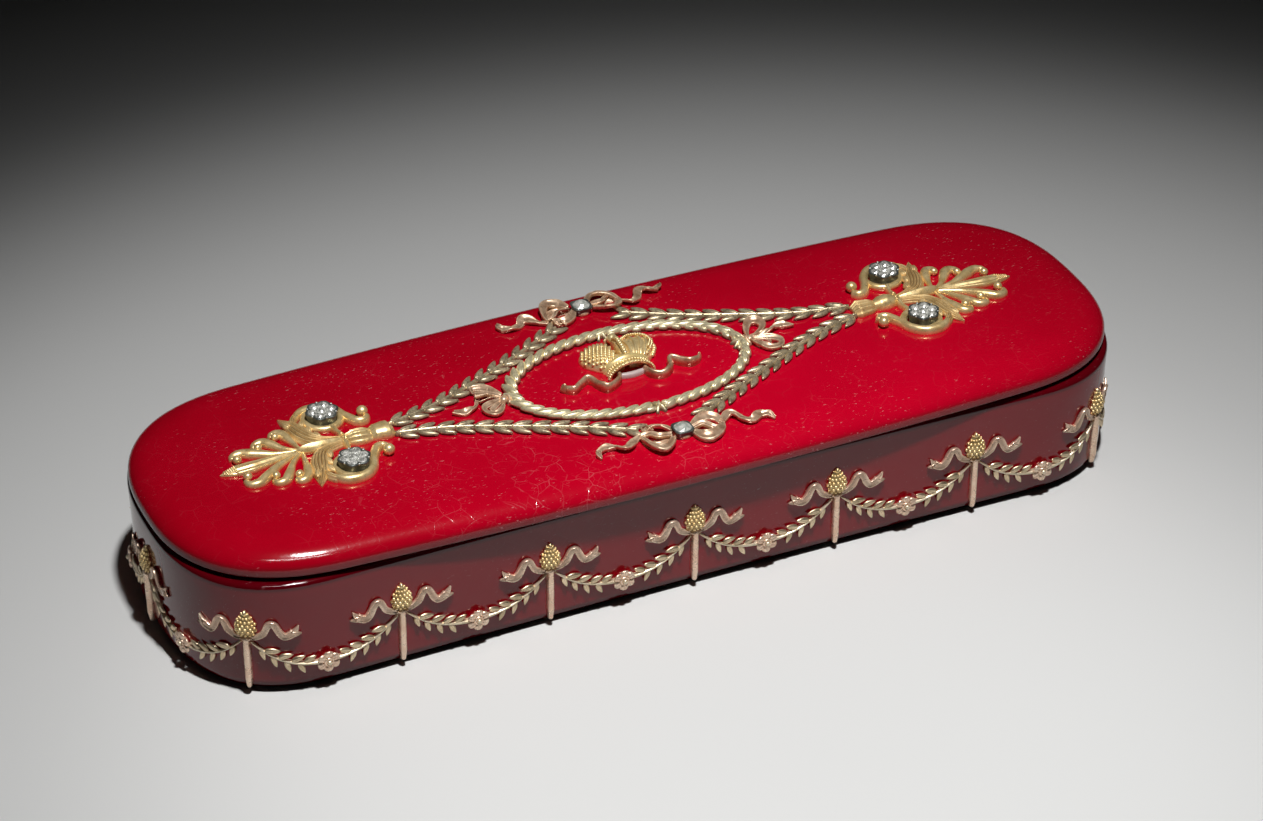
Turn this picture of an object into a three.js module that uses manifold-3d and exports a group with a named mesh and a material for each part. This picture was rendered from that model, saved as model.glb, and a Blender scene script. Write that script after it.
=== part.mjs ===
// A lidded oblong lacquer box with cast and chased gold mounts and small rose-cut stones.
// Millimetres, +Z up. The origin is the middle of the underside, +X runs along the box,
// and the front faces -Y.
import * as THREE from 'three';
import { mergeVertices } from 'three/addons/utils/BufferGeometryUtils.js';
import Module from 'manifold-3d';

const wasm = await Module();
wasm.setup();

// Lacquer body
const bodyLength = 220;
const bodyWidth = 68.2;
const bodyHeight = 27.5;
const bodySideDip = 0.7;
const bodyEndReach = 29.8;
const bodyRoundness = 2.53;
const bodyTaper = 0.6;
const bodyWall = 3;
const bodyFloor = 4;
const bodyFootRadius = 3.6;
const bodyRimRadius = 1.1;

// Sleeve that stands in the body and guides the lid
const sleeveWall = 1.8;
const sleeveRise = 3;

// Lacquer lid
const lidOverhang = 2.7;
const lidSideBow = 1.8;
const lidEndReach = 33.5;
const lidRoundness = 2.61;
const lidGap = 1;
const lidSideHeight = 1.2;
const lidRollWidth = 8.7;
const lidRollHeight = 4.6;
const lidEdgeRadius = 0.4;

// Clearances
const seatGap = 0.3;
const sleeveGap = 0.35;

// Mounts on the wall
const bayCount = 16;
const staffRadius = 0.75;
const staffFootRise = 1.8;
const staffHeight = 13;
const coneWidth = 4.4;
const coneHeight = 6.8;
const coneDepth = 2.2;
const ribbonReach = 10.8;
const ribbonThickness = 0.9;
const ribbonHalfWidth = 0.8;
const festoonTopDrop = 0.9;
const festoonDrop = 6.8;
const festoonStemWidth = 1;
const festoonStemHeight = 0.9;
const flowerRadius = 2.35;
const flowerHeight = 1.1;
const wallLeafLength = 4;
const wallLeafWidth = 1.7;
const wallLeafHeight = 0.8;

// Mounts on the lid
const anthemionEndInset = 17.1;
const anthemionLength = 38.3;
const anthemionDrawn = 38.3;
const clusterReach = 12.4;
const clusterSpread = 9.5;
const clusterRadius = 3.4;
const clusterHeight = 2;
const stoneHeight = 0.9;
const stoneBedHeight = 0.3;
const wreathLength = 56.6;
const wreathToBow = 9.7;
const wreathBand = 3.1;
const wreathHeight = 1.5;
const wreathBowShare = 0.48;
const wreathBowDrawn = 12.6;
const garlandGap = 1.4;
const garlandWidth = 3.4;
const garlandHeight = 1.3;
const garlandLeafPitch = 3.7;
const garlandStartSpread = 2.2;
const bowEdgeInset = 1.2;
const bowLoopReach = 8.8;
const bowHeight = 1.5;
const bowStoneRadius = 2.1;
const bowColletHeight = 1.5;
const crownWidth = 17.4;
const crownLength = 13;
const crownHeight = 3.6;
const crownBandHalf = 4.7;
const crownRibbonHeight = 2;
const crownRibbonReach = 17;
const crownRibbonThickness = 0.6;

const bodyHalfLength = bodyLength / 2;
const bodyHalfWidth = bodyWidth / 2;
const bodyPlan = {
  halfLength: bodyHalfLength,
  halfWidth: bodyHalfWidth,
  sideStart: bodyHalfLength - bodyEndReach,
  roundness: bodyRoundness,
  bow: -bodySideDip,
};
const lidHalfWidth = bodyHalfWidth + lidOverhang;
const lidPlan = {
  halfLength: bodyHalfLength,
  halfWidth: lidHalfWidth,
  sideStart: bodyHalfLength - lidEndReach,
  roundness: lidRoundness,
  bow: lidSideBow,
};
const lidBottom = bodyHeight + lidGap;
const lidRollStart = lidBottom + lidSideHeight;
const lidTop = lidRollStart + lidRollHeight;
const sleeveTop = bodyHeight + sleeveRise;
const plateauHalfWidth = lidHalfWidth - lidRollWidth;

const lacquerRed = 0xb3001f;
const yellowGold = 0xc9a04a;
const greenGold = 0x9a8f62;
const roseGold = 0xc08a6a;
const oldSilver = 0x5a5f60;
const stoneGrey = 0xb9c0c2;

// Plan outlines: a quarter is a superellipse end that runs into a side, which bows in or out
// by a small share that grows with the square of the distance from the middle.
function quarterPlan(plan, endSteps, sideSteps) {
  const points = [];
  const end = plan.halfLength - plan.sideStart;
  for (let i = 0; i <= endSteps; i += 1) {
    const turn = (Math.PI / 2) * (i / endSteps);
    const power = 2 / plan.roundness;
    points.push(new THREE.Vector2(
      plan.sideStart + end * Math.max(Math.cos(turn), 0) ** power,
      plan.halfWidth * Math.sin(turn) ** power,
    ));
  }
  for (let i = 1; i <= sideSteps; i += 1) {
    points.push(new THREE.Vector2(plan.sideStart * (1 - i / sideSteps), plan.halfWidth));
  }
  for (const point of points) {
    point.y *= 1 - (plan.bow / plan.halfWidth) * (point.x / plan.sideStart) ** 2;
  }
  return points;
}

// The whole outline, counter-clockwise from the middle of the front.
function wholePlan(plan, endSteps, sideSteps) {
  const quarter = quarterPlan(plan, endSteps, sideSteps);
  const back = quarter.slice(1);
  const frontRight = [...quarter].reverse().map((p) => new THREE.Vector2(p.x, -p.y));
  const backRight = back.map((p) => p.clone());
  const backLeft = [...quarter].reverse().slice(1).map((p) => new THREE.Vector2(-p.x, p.y));
  const frontLeft = back.slice(0, -1).map((p) => new THREE.Vector2(-p.x, -p.y));
  return [...frontRight, ...backRight, ...backLeft, ...frontLeft];
}

function outwardNormals(loop) {
  return loop.map((point, i) => {
    const before = loop[(i + loop.length - 1) % loop.length];
    const after = loop[(i + 1) % loop.length];
    return new THREE.Vector2(after.y - before.y, before.x - after.x).normalize();
  });
}

function insetLoop(loop, inset) {
  const normals = outwardNormals(loop);
  return loop.map((point, i) => point.clone().addScaledVector(normals[i], -inset));
}

// Skins level loops, given from the first to the last, and closes the stack with a fan at
// each end, or with a last strip back to the first loop where the piece is a ring.
function stackLoops(levels, isRing) {
  const count = levels[0].loop.length;
  const positions = [];
  for (const { loop, z } of levels) {
    for (const point of loop) positions.push(point.x, point.y, z);
  }
  const index = [];
  const strips = isRing ? levels.length : levels.length - 1;
  for (let k = 0; k < strips; k += 1) {
    const low = k * count;
    const high = ((k + 1) % levels.length) * count;
    for (let i = 0; i < count; i += 1) {
      const j = (i + 1) % count;
      index.push(low + i, low + j, high + j, low + i, high + j, high + i);
    }
  }
  if (!isRing) {
    const lastStart = (levels.length - 1) * count;
    const firstHub = positions.length / 3;
    positions.push(0, 0, levels[0].z);
    const lastHub = firstHub + 1;
    positions.push(0, 0, levels[levels.length - 1].z);
    for (let i = 0; i < count; i += 1) {
      const j = (i + 1) % count;
      index.push(firstHub, j, i);
      index.push(lastHub, lastStart + i, lastStart + j);
    }
  }
  const geometry = new THREE.BufferGeometry();
  geometry.setAttribute('position', new THREE.Float32BufferAttribute(positions, 3));
  geometry.setIndex(index);
  return geometry;
}

// A quarter turn as [inset share, rise share] pairs.
function quarterTurn(steps) {
  return Array.from({ length: steps + 1 }, (unused, i) => {
    const turn = (Math.PI / 2) * (i / steps);
    return [1 - Math.cos(turn), Math.sin(turn)];
  });
}

function wallTaperAt(z) {
  return bodyTaper * (1 - z / bodyHeight);
}

const planEndSteps = 10;
const planSideSteps = 3;
const footSteps = 3;
const edgeSteps = 2;
const rollSteps = 5;

function makeBody() {
  const outer = wholePlan(bodyPlan, planEndSteps, planSideSteps);
  const levels = [];
  for (const [rise, out] of quarterTurn(footSteps)) {
    const z = bodyFootRadius * rise;
    levels.push({ loop: insetLoop(outer, wallTaperAt(z) + bodyFootRadius * (1 - out)), z });
  }
  for (const [inset, rise] of quarterTurn(edgeSteps)) {
    const z = bodyHeight - bodyRimRadius + bodyRimRadius * rise;
    levels.push({ loop: insetLoop(outer, wallTaperAt(z) + bodyRimRadius * inset), z });
  }
  const inner = insetLoop(outer, bodyWall);
  levels.push({ loop: inner, z: bodyHeight });
  levels.push({ loop: inner, z: bodyFloor });
  return stackLoops(levels, false);
}

function makeSleeve() {
  const outer = wholePlan(bodyPlan, planEndSteps, planSideSteps);
  const outside = insetLoop(outer, bodyWall + seatGap);
  const inside = insetLoop(outer, bodyWall + seatGap + sleeveWall);
  const foot = bodyFloor + seatGap;
  return stackLoops([
    { loop: outside, z: foot },
    { loop: outside, z: sleeveTop },
    { loop: inside, z: sleeveTop },
    { loop: inside, z: foot },
  ], true);
}

function makeLid() {
  const outer = wholePlan(lidPlan, planEndSteps, planSideSteps);
  const recess = insetLoop(
    wholePlan(bodyPlan, planEndSteps, planSideSteps),
    bodyWall + seatGap - sleeveGap,
  );
  const levels = [
    { loop: recess, z: sleeveTop + seatGap },
    { loop: recess, z: lidBottom },
  ];
  for (const [rise, out] of quarterTurn(1)) {
    levels.push({
      loop: insetLoop(outer, lidEdgeRadius * (1 - out)),
      z: lidBottom + lidEdgeRadius * rise,
    });
  }
  for (const [inset, rise] of quarterTurn(rollSteps)) {
    levels.push({
      loop: insetLoop(outer, lidRollWidth * inset),
      z: lidRollStart + lidRollHeight * rise,
    });
  }
  return stackLoops(levels, false);
}

// Solids for joining and cutting
function solidOf(geometry) {
  const bare = geometry.clone();
  bare.deleteAttribute('normal');
  bare.deleteAttribute('uv');
  const merged = mergeVertices(bare, 1e-4);
  return new wasm.Manifold(new wasm.Mesh({
    numProp: 3,
    vertProperties: new Float32Array(merged.attributes.position.array),
    triVerts: new Uint32Array(merged.index.array),
  }));
}

function joined(geometries) {
  let whole = solidOf(geometries[0]);
  for (const geometry of geometries.slice(1)) whole = whole.add(solidOf(geometry));
  return whole;
}

function geometryOf(solid) {
  const mesh = solid.getMesh();
  const positions = [];
  for (let i = 0; i < mesh.vertProperties.length; i += mesh.numProp) {
    positions.push(...mesh.vertProperties.slice(i, i + 3));
  }
  const geometry = new THREE.BufferGeometry();
  geometry.setAttribute('position', new THREE.Float32BufferAttribute(positions, 3));
  geometry.setIndex([...mesh.triVerts]);
  return geometry;
}

// Takes away all that lies under a mount's back, which is the plane z = 0 of its own frame.
function cutBack(solid) {
  const reach = 60;
  const slab = new THREE.BoxGeometry(4 * reach, 4 * reach, reach);
  slab.translate(0, 0, -reach / 2);
  return solid.subtract(solidOf(slab));
}

// Bends a flat mount onto a surface: place(x, y, height) gives the point in the box's frame.
function bentOnto(geometry, place) {
  const position = geometry.attributes.position;
  for (let i = 0; i < position.count; i += 1) {
    const point = place(position.getX(i), position.getY(i), position.getZ(i));
    position.setXYZ(i, point.x, point.y, point.z);
  }
  return geometry;
}

// Flat pieces of the mounts
function plate(points, height) {
  const shape = new THREE.Shape(points.map(([x, y]) => new THREE.Vector2(x, y)));
  return new THREE.ExtrudeGeometry(shape, { depth: height, bevelEnabled: false });
}

// A strip of given height along a smooth line. Its half width runs from startHalf to endHalf,
// and a forked end is notched by the given depth.
function strip(line, startHalf, endHalf, height, steps, notch = 0) {
  const curve = new THREE.SplineCurve(line.map(([x, y]) => new THREE.Vector2(x, y)));
  const left = [];
  const right = [];
  for (let i = 0; i <= steps; i += 1) {
    const share = i / steps;
    const point = curve.getPointAt(share);
    const along = curve.getTangentAt(share);
    const half = THREE.MathUtils.lerp(startHalf, endHalf, share);
    left.push([point.x - along.y * half, point.y + along.x * half]);
    right.push([point.x + along.y * half, point.y - along.x * half]);
  }
  const outline = [...right];
  if (notch > 0) {
    const end = curve.getPointAt(1);
    const along = curve.getTangentAt(1);
    outline.push([end.x - along.x * notch, end.y - along.y * notch]);
  }
  outline.push(...left.reverse());
  return plate(outline, height);
}

// A leaf with a raised middle: a kite with one ridge point.
function leaf(base, angle, length, width, height) {
  const widest = 0.42;
  const ahead = new THREE.Vector2(Math.cos(angle), Math.sin(angle));
  const aside = new THREE.Vector2(-ahead.y, ahead.x);
  const at = (forward, sideways) => [
    base[0] + ahead.x * forward + aside.x * sideways,
    base[1] + ahead.y * forward + aside.y * sideways,
  ];
  const positions = [
    ...at(0, 0), 0,
    ...at(widest * length, -width / 2), 0,
    ...at(length, 0), 0,
    ...at(widest * length, width / 2), 0,
    ...at(widest * length, 0), height,
  ];
  const geometry = new THREE.BufferGeometry();
  geometry.setAttribute('position', new THREE.Float32BufferAttribute(positions, 3));
  geometry.setIndex([0, 1, 4, 1, 2, 4, 2, 3, 4, 3, 0, 4, 0, 2, 1, 0, 3, 2]);
  return geometry;
}

function bead(x, y, z, radius) {
  const sphere = new THREE.SphereGeometry(radius, 5, 4);
  sphere.translate(x, y, z);
  return sphere;
}

function dome(x, y, z, halfX, halfY, halfZ, around, upward) {
  const sphere = new THREE.SphereGeometry(1, around, upward);
  sphere.scale(halfX, halfY, halfZ);
  sphere.translate(x, y, z);
  return sphere;
}

function mirroredOverX(line) {
  return line.map(([x, y]) => [x, -y]);
}

// The wall, measured along the outline from the middle of the front
const fineWall = wholePlan(bodyPlan, 90, 60);
const fineNormals = outwardNormals(fineWall);
const wallDistances = [0];
for (let i = 1; i <= fineWall.length; i += 1) {
  const step = fineWall[i % fineWall.length].distanceTo(fineWall[i - 1]);
  wallDistances.push(wallDistances[i - 1] + step);
}
const wallLength = wallDistances[fineWall.length];
const bayPitch = wallLength / bayCount;

function onWall(along, z, proud) {
  const distance = ((along % wallLength) + wallLength) % wallLength;
  let low = 0;
  let high = fineWall.length;
  while (high - low > 1) {
    const middle = Math.floor((low + high) / 2);
    if (wallDistances[middle] <= distance) low = middle;
    else high = middle;
  }
  const share = (distance - wallDistances[low]) / (wallDistances[high] - wallDistances[low]);
  const next = high % fineWall.length;
  const point = fineWall[low].clone().lerp(fineWall[next], share);
  const normal = fineNormals[low].clone().lerp(fineNormals[next], share).normalize();
  point.addScaledVector(normal, proud - wallTaperAt(z));
  return new THREE.Vector3(point.x, point.y, z);
}

const coneFoot = staffFootRise + staffHeight - staffRadius / 2;

function makeThyrsus(along) {
  const staff = new THREE.CylinderGeometry(staffRadius, staffRadius, staffHeight, 6);
  staff.translate(0, staffFootRise + staffHeight / 2, staffRadius);
  const coneRings = 5;
  const profile = [new THREE.Vector2(0, 0)];
  for (let i = 1; i < coneRings; i += 1) {
    const share = i / coneRings;
    const swell = Math.sin(Math.PI * share ** 0.72) ** 0.8;
    profile.push(new THREE.Vector2((coneWidth / 2) * swell, coneHeight * share));
  }
  profile.push(new THREE.Vector2(0, coneHeight));
  const cone = new THREE.LatheGeometry(profile, 6);
  cone.scale(1, 1, coneDepth / (coneWidth / 2));
  cone.translate(0, coneFoot, 0);
  // The ribbon in shares of its reach and of the cone's height
  const wave = [[0.04, 0.12], [0.26, 0.19], [0.49, 0.56], [0.76, 0.03], [1, 0.31]];
  const pieces = [staff, cone];
  for (const side of [1, -1]) {
    const sided = wave.map(([out, up]) => [side * out * ribbonReach, coneFoot + up * coneHeight]);
    const startHalf = ribbonHalfWidth * 0.7;
    const endHalf = ribbonHalfWidth * 1.3;
    pieces.push(strip(sided, startHalf, endHalf, ribbonThickness, 7, ribbonHalfWidth * 1.7));
  }
  const solid = joined(pieces);
  const place = (x, y, height) => onWall(along + x, y, seatGap + height);
  return bentOnto(geometryOf(cutBack(solid)), place);
}

// The stem sags from under the cones to the flower by a power of the distance from the flower.
const festoonTop = coneFoot - festoonTopDrop;
const festoonHalf = bayPitch / 2 - staffRadius - seatGap;
const festoonPower = 2.5;

function stemHeightAt(fromFlower) {
  const share = Math.abs(fromFlower) / festoonHalf;
  return festoonTop - festoonDrop * (1 - share ** festoonPower);
}

function makeFestoon(along) {
  const middle = festoonTop - festoonDrop;
  const pieces = [];
  for (const side of [-1, 1]) {
    const line = [];
    for (let i = 0; i <= 6; i += 1) {
      const x = festoonHalf * (1 - i / 6);
      line.push([side * x, stemHeightAt(x)]);
    }
    pieces.push(strip(line, festoonStemWidth * 0.28, festoonStemWidth / 2, festoonStemHeight, 4));
    for (let i = 0; i < 4; i += 1) {
      const x = festoonHalf * (0.82 - 0.175 * i);
      const fall = Math.atan2(stemHeightAt(x) - stemHeightAt(x - 0.5), 0.5);
      const upperBase = [side * x, stemHeightAt(x) + festoonStemWidth / 4];
      const lowerBase = [side * x, stemHeightAt(x) - festoonStemWidth / 4];
      const upper = -fall + 0.72;
      const lower = -fall - 0.6 - 0.05 * i;
      const turned = (angle) => (side > 0 ? Math.PI - angle : angle);
      const upperLength = wallLeafLength * (1 - 0.05 * i);
      const lowerLength = wallLeafLength * 0.75;
      pieces.push(leaf(upperBase, turned(upper), upperLength, wallLeafWidth, wallLeafHeight));
      const lowerWidth = wallLeafWidth * 0.75;
      const lowerHeight = wallLeafHeight * 0.75;
      pieces.push(leaf(lowerBase, turned(lower), lowerLength, lowerWidth, lowerHeight));
    }
  }
  const petals = [];
  const petalSteps = 12;
  for (let i = 0; i < petalSteps; i += 1) {
    const turn = (2 * Math.PI * i) / petalSteps;
    const radius = flowerRadius * (0.9 + 0.1 * Math.cos(6 * turn));
    petals.push([radius * Math.cos(turn), middle + radius * Math.sin(turn)]);
  }
  pieces.push(plate(petals, flowerHeight));
  pieces.push(bead(0, middle, flowerHeight, flowerRadius * 0.26));
  const place = (x, y, height) => onWall(along + x, y, seatGap + height);
  return bentOnto(geometryOf(joined(pieces)), place);
}

// The top of the lid at a point: the flat, or the roll along the sides
function lidTopAt(x, y) {
  const side = lidHalfWidth - lidSideBow * (x / lidPlan.sideStart) ** 2;
  const inset = side - Math.abs(y);
  if (inset >= lidRollWidth) return lidTop;
  const share = Math.max(inset, 0) / lidRollWidth;
  return lidRollStart + lidRollHeight * Math.sqrt(1 - (1 - share) ** 2);
}

function onLid(x, y, height) {
  return new THREE.Vector3(x, y, lidTopAt(x, y) + seatGap + height);
}

const anthemionStart = bodyHalfLength - anthemionEndInset - anthemionLength;
const anthemionSize = anthemionLength / anthemionDrawn;
const clusterX = anthemionStart + anthemionSize * clusterReach;
const clusterY = anthemionSize * clusterSpread;
const clusterHalf = anthemionSize * clusterRadius;

// The palmette, its leaves and the scrolls that hold the clusters. Distances along the box are
// from the inner end of the collar.
function makeAnthemion(facing) {
  const petals = [
    [[21.4, 0.5], [25.4, 2.3], [30, 4.2], [32.7, 5.1], [34.4, 4.4], [33.9, 3.2]],
    [[20.6, 0.9], [23, 2.9], [25.2, 5], [26.8, 6.8], [28.5, 6.7], [28.1, 5.4]],
    [[19.8, 1.1], [20.7, 3.6], [21.7, 6.4], [22.6, 8.3], [24.2, 8.4], [24, 7.4]],
  ];
  const scroll = [
    [10.6, 0.4], [14.6, 1.4], [17.2, 4.6], [17.6, 8.4], [16.6, 11.9], [13.9, 13.9],
    [10.6, 13.3], [8.1, 10.6], [6.6, 7.5], [4.9, 5.7], [3.3, 6.1], [2.9, 7.6],
  ];
  const acanthus = [
    [16.6, 1], [18.4, 4.6], [17.9, 9.2], [20.7, 13], [20.2, 8.4], [20.6, 4.4], [19.6, 0.8],
  ];
  const lobe = [
    [19.8, -0.7], [26, -0.9], [30, -1.55], [34.4, -1.5], [anthemionDrawn, 0],
    [34.4, 1.5], [30, 1.55], [26, 0.9], [19.8, 0.7],
  ];
  const stem = [
    [9.6, -0.6], [16, -1.1], [19.4, -1.5], [21.4, -0.9], [21.4, 0.9], [19.4, 1.5], [16, 1.1],
    [9.6, 0.6],
  ];
  const calyx = [[5, -2.5], [8.4, -2], [11.2, -0.9], [11.2, 0.9], [8.4, 2], [5, 2.5]];
  const collar = new THREE.CylinderGeometry(2.6, 2.6, 5.3, 8);
  collar.rotateZ(Math.PI / 2);
  collar.translate(2.65, 0, 0.2);
  const pieces = [plate(lobe, 1.5), plate(stem, 1.9), plate(calyx, 2), collar];
  for (const side of [1, -1]) {
    const sided = (line) => (side > 0 ? line : mirroredOverX(line));
    for (const petal of petals) {
      const tip = petal[petal.length - 1];
      pieces.push(strip(sided(petal), 0.4, 0.8, 1.3, 6));
      pieces.push(bead(tip[0], side * tip[1], 0.9, 0.95));
    }
    const end = scroll[scroll.length - 1];
    pieces.push(strip(sided(scroll), 0.75, 0.75, 1.2, 14));
    pieces.push(bead(end[0], side * (end[1] + 0.5), 0.9, 1.05));
    const blade = side > 0 ? acanthus : mirroredOverX(acanthus).reverse();
    pieces.push(plate(blade, 1.2));
    pieces.push(leaf([11, side * 0.4], side * 1.6, 3.4, 1.6, 1.6));
  }
  const solid = cutBack(joined(pieces));
  const place = (x, y, height) => onLid(
    facing * (anthemionStart + anthemionSize * x),
    facing * anthemionSize * y,
    anthemionSize * height,
  );
  return bentOnto(geometryOf(solid), place);
}

function makeClusterCollet(x, y) {
  const cup = new THREE.CylinderGeometry(clusterHalf, clusterHalf * 0.74, clusterHeight, 10);
  cup.rotateX(Math.PI / 2);
  cup.translate(0, 0, clusterHeight / 2);
  return bentOnto(cup, (u, v, height) => onLid(x + u, y + v, height));
}

function makeClusterStones(x, y) {
  const stoneRadius = clusterHalf * 0.345;
  const ringRadius = clusterHalf - stoneRadius;
  const bed = new THREE.CylinderGeometry(ringRadius, ringRadius, stoneBedHeight, 6);
  bed.rotateX(Math.PI / 2);
  bed.translate(0, 0, stoneBedHeight / 2);
  const stones = [bed];
  for (let i = 0; i < 7; i += 1) {
    const stone = new THREE.CylinderGeometry(stoneRadius * 0.4, stoneRadius, stoneHeight, 6);
    stone.rotateX(Math.PI / 2);
    const turn = (Math.PI / 3) * i;
    const out = i < 6 ? ringRadius * 0.97 : 0;
    stone.translate(out * Math.cos(turn), out * Math.sin(turn), stoneHeight / 2);
    stones.push(stone);
  }
  const foot = clusterHeight + seatGap;
  return bentOnto(geometryOf(joined(stones)), (u, v, height) => onLid(x + u, y + v, foot + height));
}

const bowY = plateauHalfWidth - bowEdgeInset;
const wreathHalfLength = wreathLength / 2;
const wreathHalfWidth = bowY - wreathToBow;
const space = anthemionStart - wreathHalfLength;

// A garland of leaf pairs from an anthemion's collar, past the wreath, to a bow
function garlandLine() {
  const pass = 0.9;
  const clear = garlandGap + garlandWidth / 2;
  const near = new THREE.Vector2(wreathHalfLength * Math.cos(pass), wreathHalfWidth * Math.sin(pass));
  const out = new THREE.Vector2(
    Math.cos(pass) / wreathHalfLength,
    Math.sin(pass) / wreathHalfWidth,
  ).normalize();
  return [
    [anthemionStart - seatGap, garlandStartSpread],
    [anthemionStart - space * 0.55, garlandStartSpread + garlandWidth * 1.24],
    [near.x + out.x * clear, near.y + out.y * clear],
    [bowLoopReach * 1.19, bowY - bowLoopReach * 0.61],
  ];
}

function makeGarland(sideX, sideY) {
  const line = garlandLine();
  const curve = new THREE.SplineCurve(line.map(([x, y]) => new THREE.Vector2(x, y)));
  const length = curve.getLength();
  const steps = Math.ceil(length / (2.5 * garlandWidth));
  const stemHalf = garlandWidth * 0.16;
  const pieces = [strip(line, stemHalf, stemHalf, garlandHeight * 0.85, steps)];
  const pairs = Math.floor((length - garlandWidth) / garlandLeafPitch);
  for (let i = 0; i < pairs; i += 1) {
    const share = (garlandLeafPitch * (i + 0.35)) / length;
    const point = curve.getPointAt(share);
    const along = curve.getTangentAt(share);
    for (const side of [-1, 1]) {
      const aside = side * garlandWidth * 0.06;
      const base = [point.x - along.y * aside, point.y + along.x * aside];
      const angle = along.angle() + side * 0.42;
      pieces.push(leaf(base, angle, garlandLeafPitch * 1.08, garlandWidth / 2, garlandHeight));
    }
  }
  const solid = joined(pieces);
  const place = (x, y, height) => onLid(sideX * x, sideY * y, height);
  const geometry = bentOnto(geometryOf(solid), place);
  if (sideX * sideY < 0) geometry.index.array.reverse();
  return geometry;
}

// The wreath: an oval band with laurel leaves laid slantwise over it
function makeWreath() {
  const ovalSteps = 36;
  const oval = (inset) => Array.from({ length: ovalSteps }, (unused, i) => {
    const turn = (2 * Math.PI * i) / ovalSteps;
    return new THREE.Vector2(
      (wreathHalfLength - inset) * Math.cos(turn),
      (wreathHalfWidth - inset) * Math.sin(turn),
    );
  });
  const edge = wreathBand * 0.14;
  const shape = new THREE.Shape(oval(edge));
  shape.holes.push(new THREE.Path(oval(wreathBand - edge)));
  const band = new THREE.ExtrudeGeometry(shape, { depth: wreathHeight * 0.7, bevelEnabled: false });
  const pieces = [band];
  const leafCount = ovalSteps;
  for (let i = 0; i < leafCount; i += 1) {
    const turn = (2 * Math.PI * (i + 0.5)) / leafCount;
    const inner = wreathBand * 0.86;
    const base = [
      (wreathHalfLength - inner) * Math.cos(turn),
      (wreathHalfWidth - inner) * Math.sin(turn),
    ];
    const tangent = Math.atan2(wreathHalfWidth * Math.cos(turn), -wreathHalfLength * Math.sin(turn));
    pieces.push(leaf(base, tangent - 0.5, wreathBand * 1.45, wreathBand * 0.55, wreathHeight));
  }
  return bentOnto(geometryOf(joined(pieces)), onLid);
}

// The small bow at each end of the wreath
function makeWreathBow(facing) {
  const start = wreathHalfLength + seatGap;
  const ear = [[0.3, 0.2], [3.4, 1], [6, 3], [6.3, 4.8], [4.8, 5.9], [2.6, 4.6], [0.9, 2.2]];
  const tail = [[0.6, 0], [5, 0.2], [7.6, 1.2], [9.8, -0.8], [12.2, 0.6]];
  const pieces = [
    plate(ear, 1),
    plate(mirroredOverX(ear).reverse(), 1),
    strip(tail, 0.5, 0.8, 0.9, 6, 0.8),
    plate([[0, -0.8], [1.6, -0.8], [1.6, 0.8], [0, 0.8]], 1.3),
  ];
  const size = (space * wreathBowShare) / wreathBowDrawn;
  const place = (x, y, height) => onLid(facing * (start + size * x), facing * size * y, height);
  return bentOnto(geometryOf(joined(pieces)), place);
}

// The large bow at the front and the back: two drooping loops, two waving tails and a knot
function makeBow(facing) {
  const reach = bowLoopReach;
  // Lines in shares of the loops' reach
  const loop = [
    [0.14, -0.16], [0.55, -0.5], [0.93, -0.18], [0.85, 0.3], [0.62, 0.55], [0.38, 0.36],
    [0.14, 0.14],
  ];
  const tail = [
    [0.85, -0.07], [1.23, -0.22], [1.49, 0.16], [1.75, 0.07], [1.95, -0.16], [2.25, 0.1],
  ];
  const knot = [[-0.22, -0.23], [0.22, -0.23], [0.22, 0.23], [-0.22, 0.23]];
  const sized = (line, side) => line.map(([x, y]) => [side * reach * x, reach * y]);
  const half = reach * 0.1;
  const pieces = [plate(sized(knot, 1), bowHeight * 0.7)];
  for (const side of [1, -1]) {
    pieces.push(strip(sized(loop, side), half, half, bowHeight, 11));
    pieces.push(strip(sized(tail, side), half * 0.7, half, bowHeight * 0.7, 8, half));
  }
  const place = (x, y, height) => onLid(facing * x, facing * (bowY + y), height);
  return bentOnto(geometryOf(joined(pieces)), place);
}

const bowColletFoot = bowHeight + seatGap;

function makeBowCollet(facing) {
  const cup = new THREE.CylinderGeometry(bowStoneRadius, bowStoneRadius * 0.8, bowColletHeight, 8);
  cup.rotateX(Math.PI / 2);
  cup.rotateZ(Math.PI / 8);
  cup.translate(0, 0, bowColletFoot + bowColletHeight / 2);
  return bentOnto(cup, (x, y, height) => onLid(x, facing * bowY + y, height));
}

function makeBowStone(facing) {
  const stone = new THREE.CylinderGeometry(bowStoneRadius * 0.4, bowStoneRadius * 0.9, stoneHeight, 8);
  stone.rotateX(Math.PI / 2);
  stone.rotateZ(Math.PI / 8);
  stone.translate(0, 0, bowColletFoot + bowColletHeight + seatGap + stoneHeight / 2);
  return bentOnto(stone, (x, y, height) => onLid(x, facing * bowY + y, height));
}

const crownFront = -crownLength * 0.08;

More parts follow.
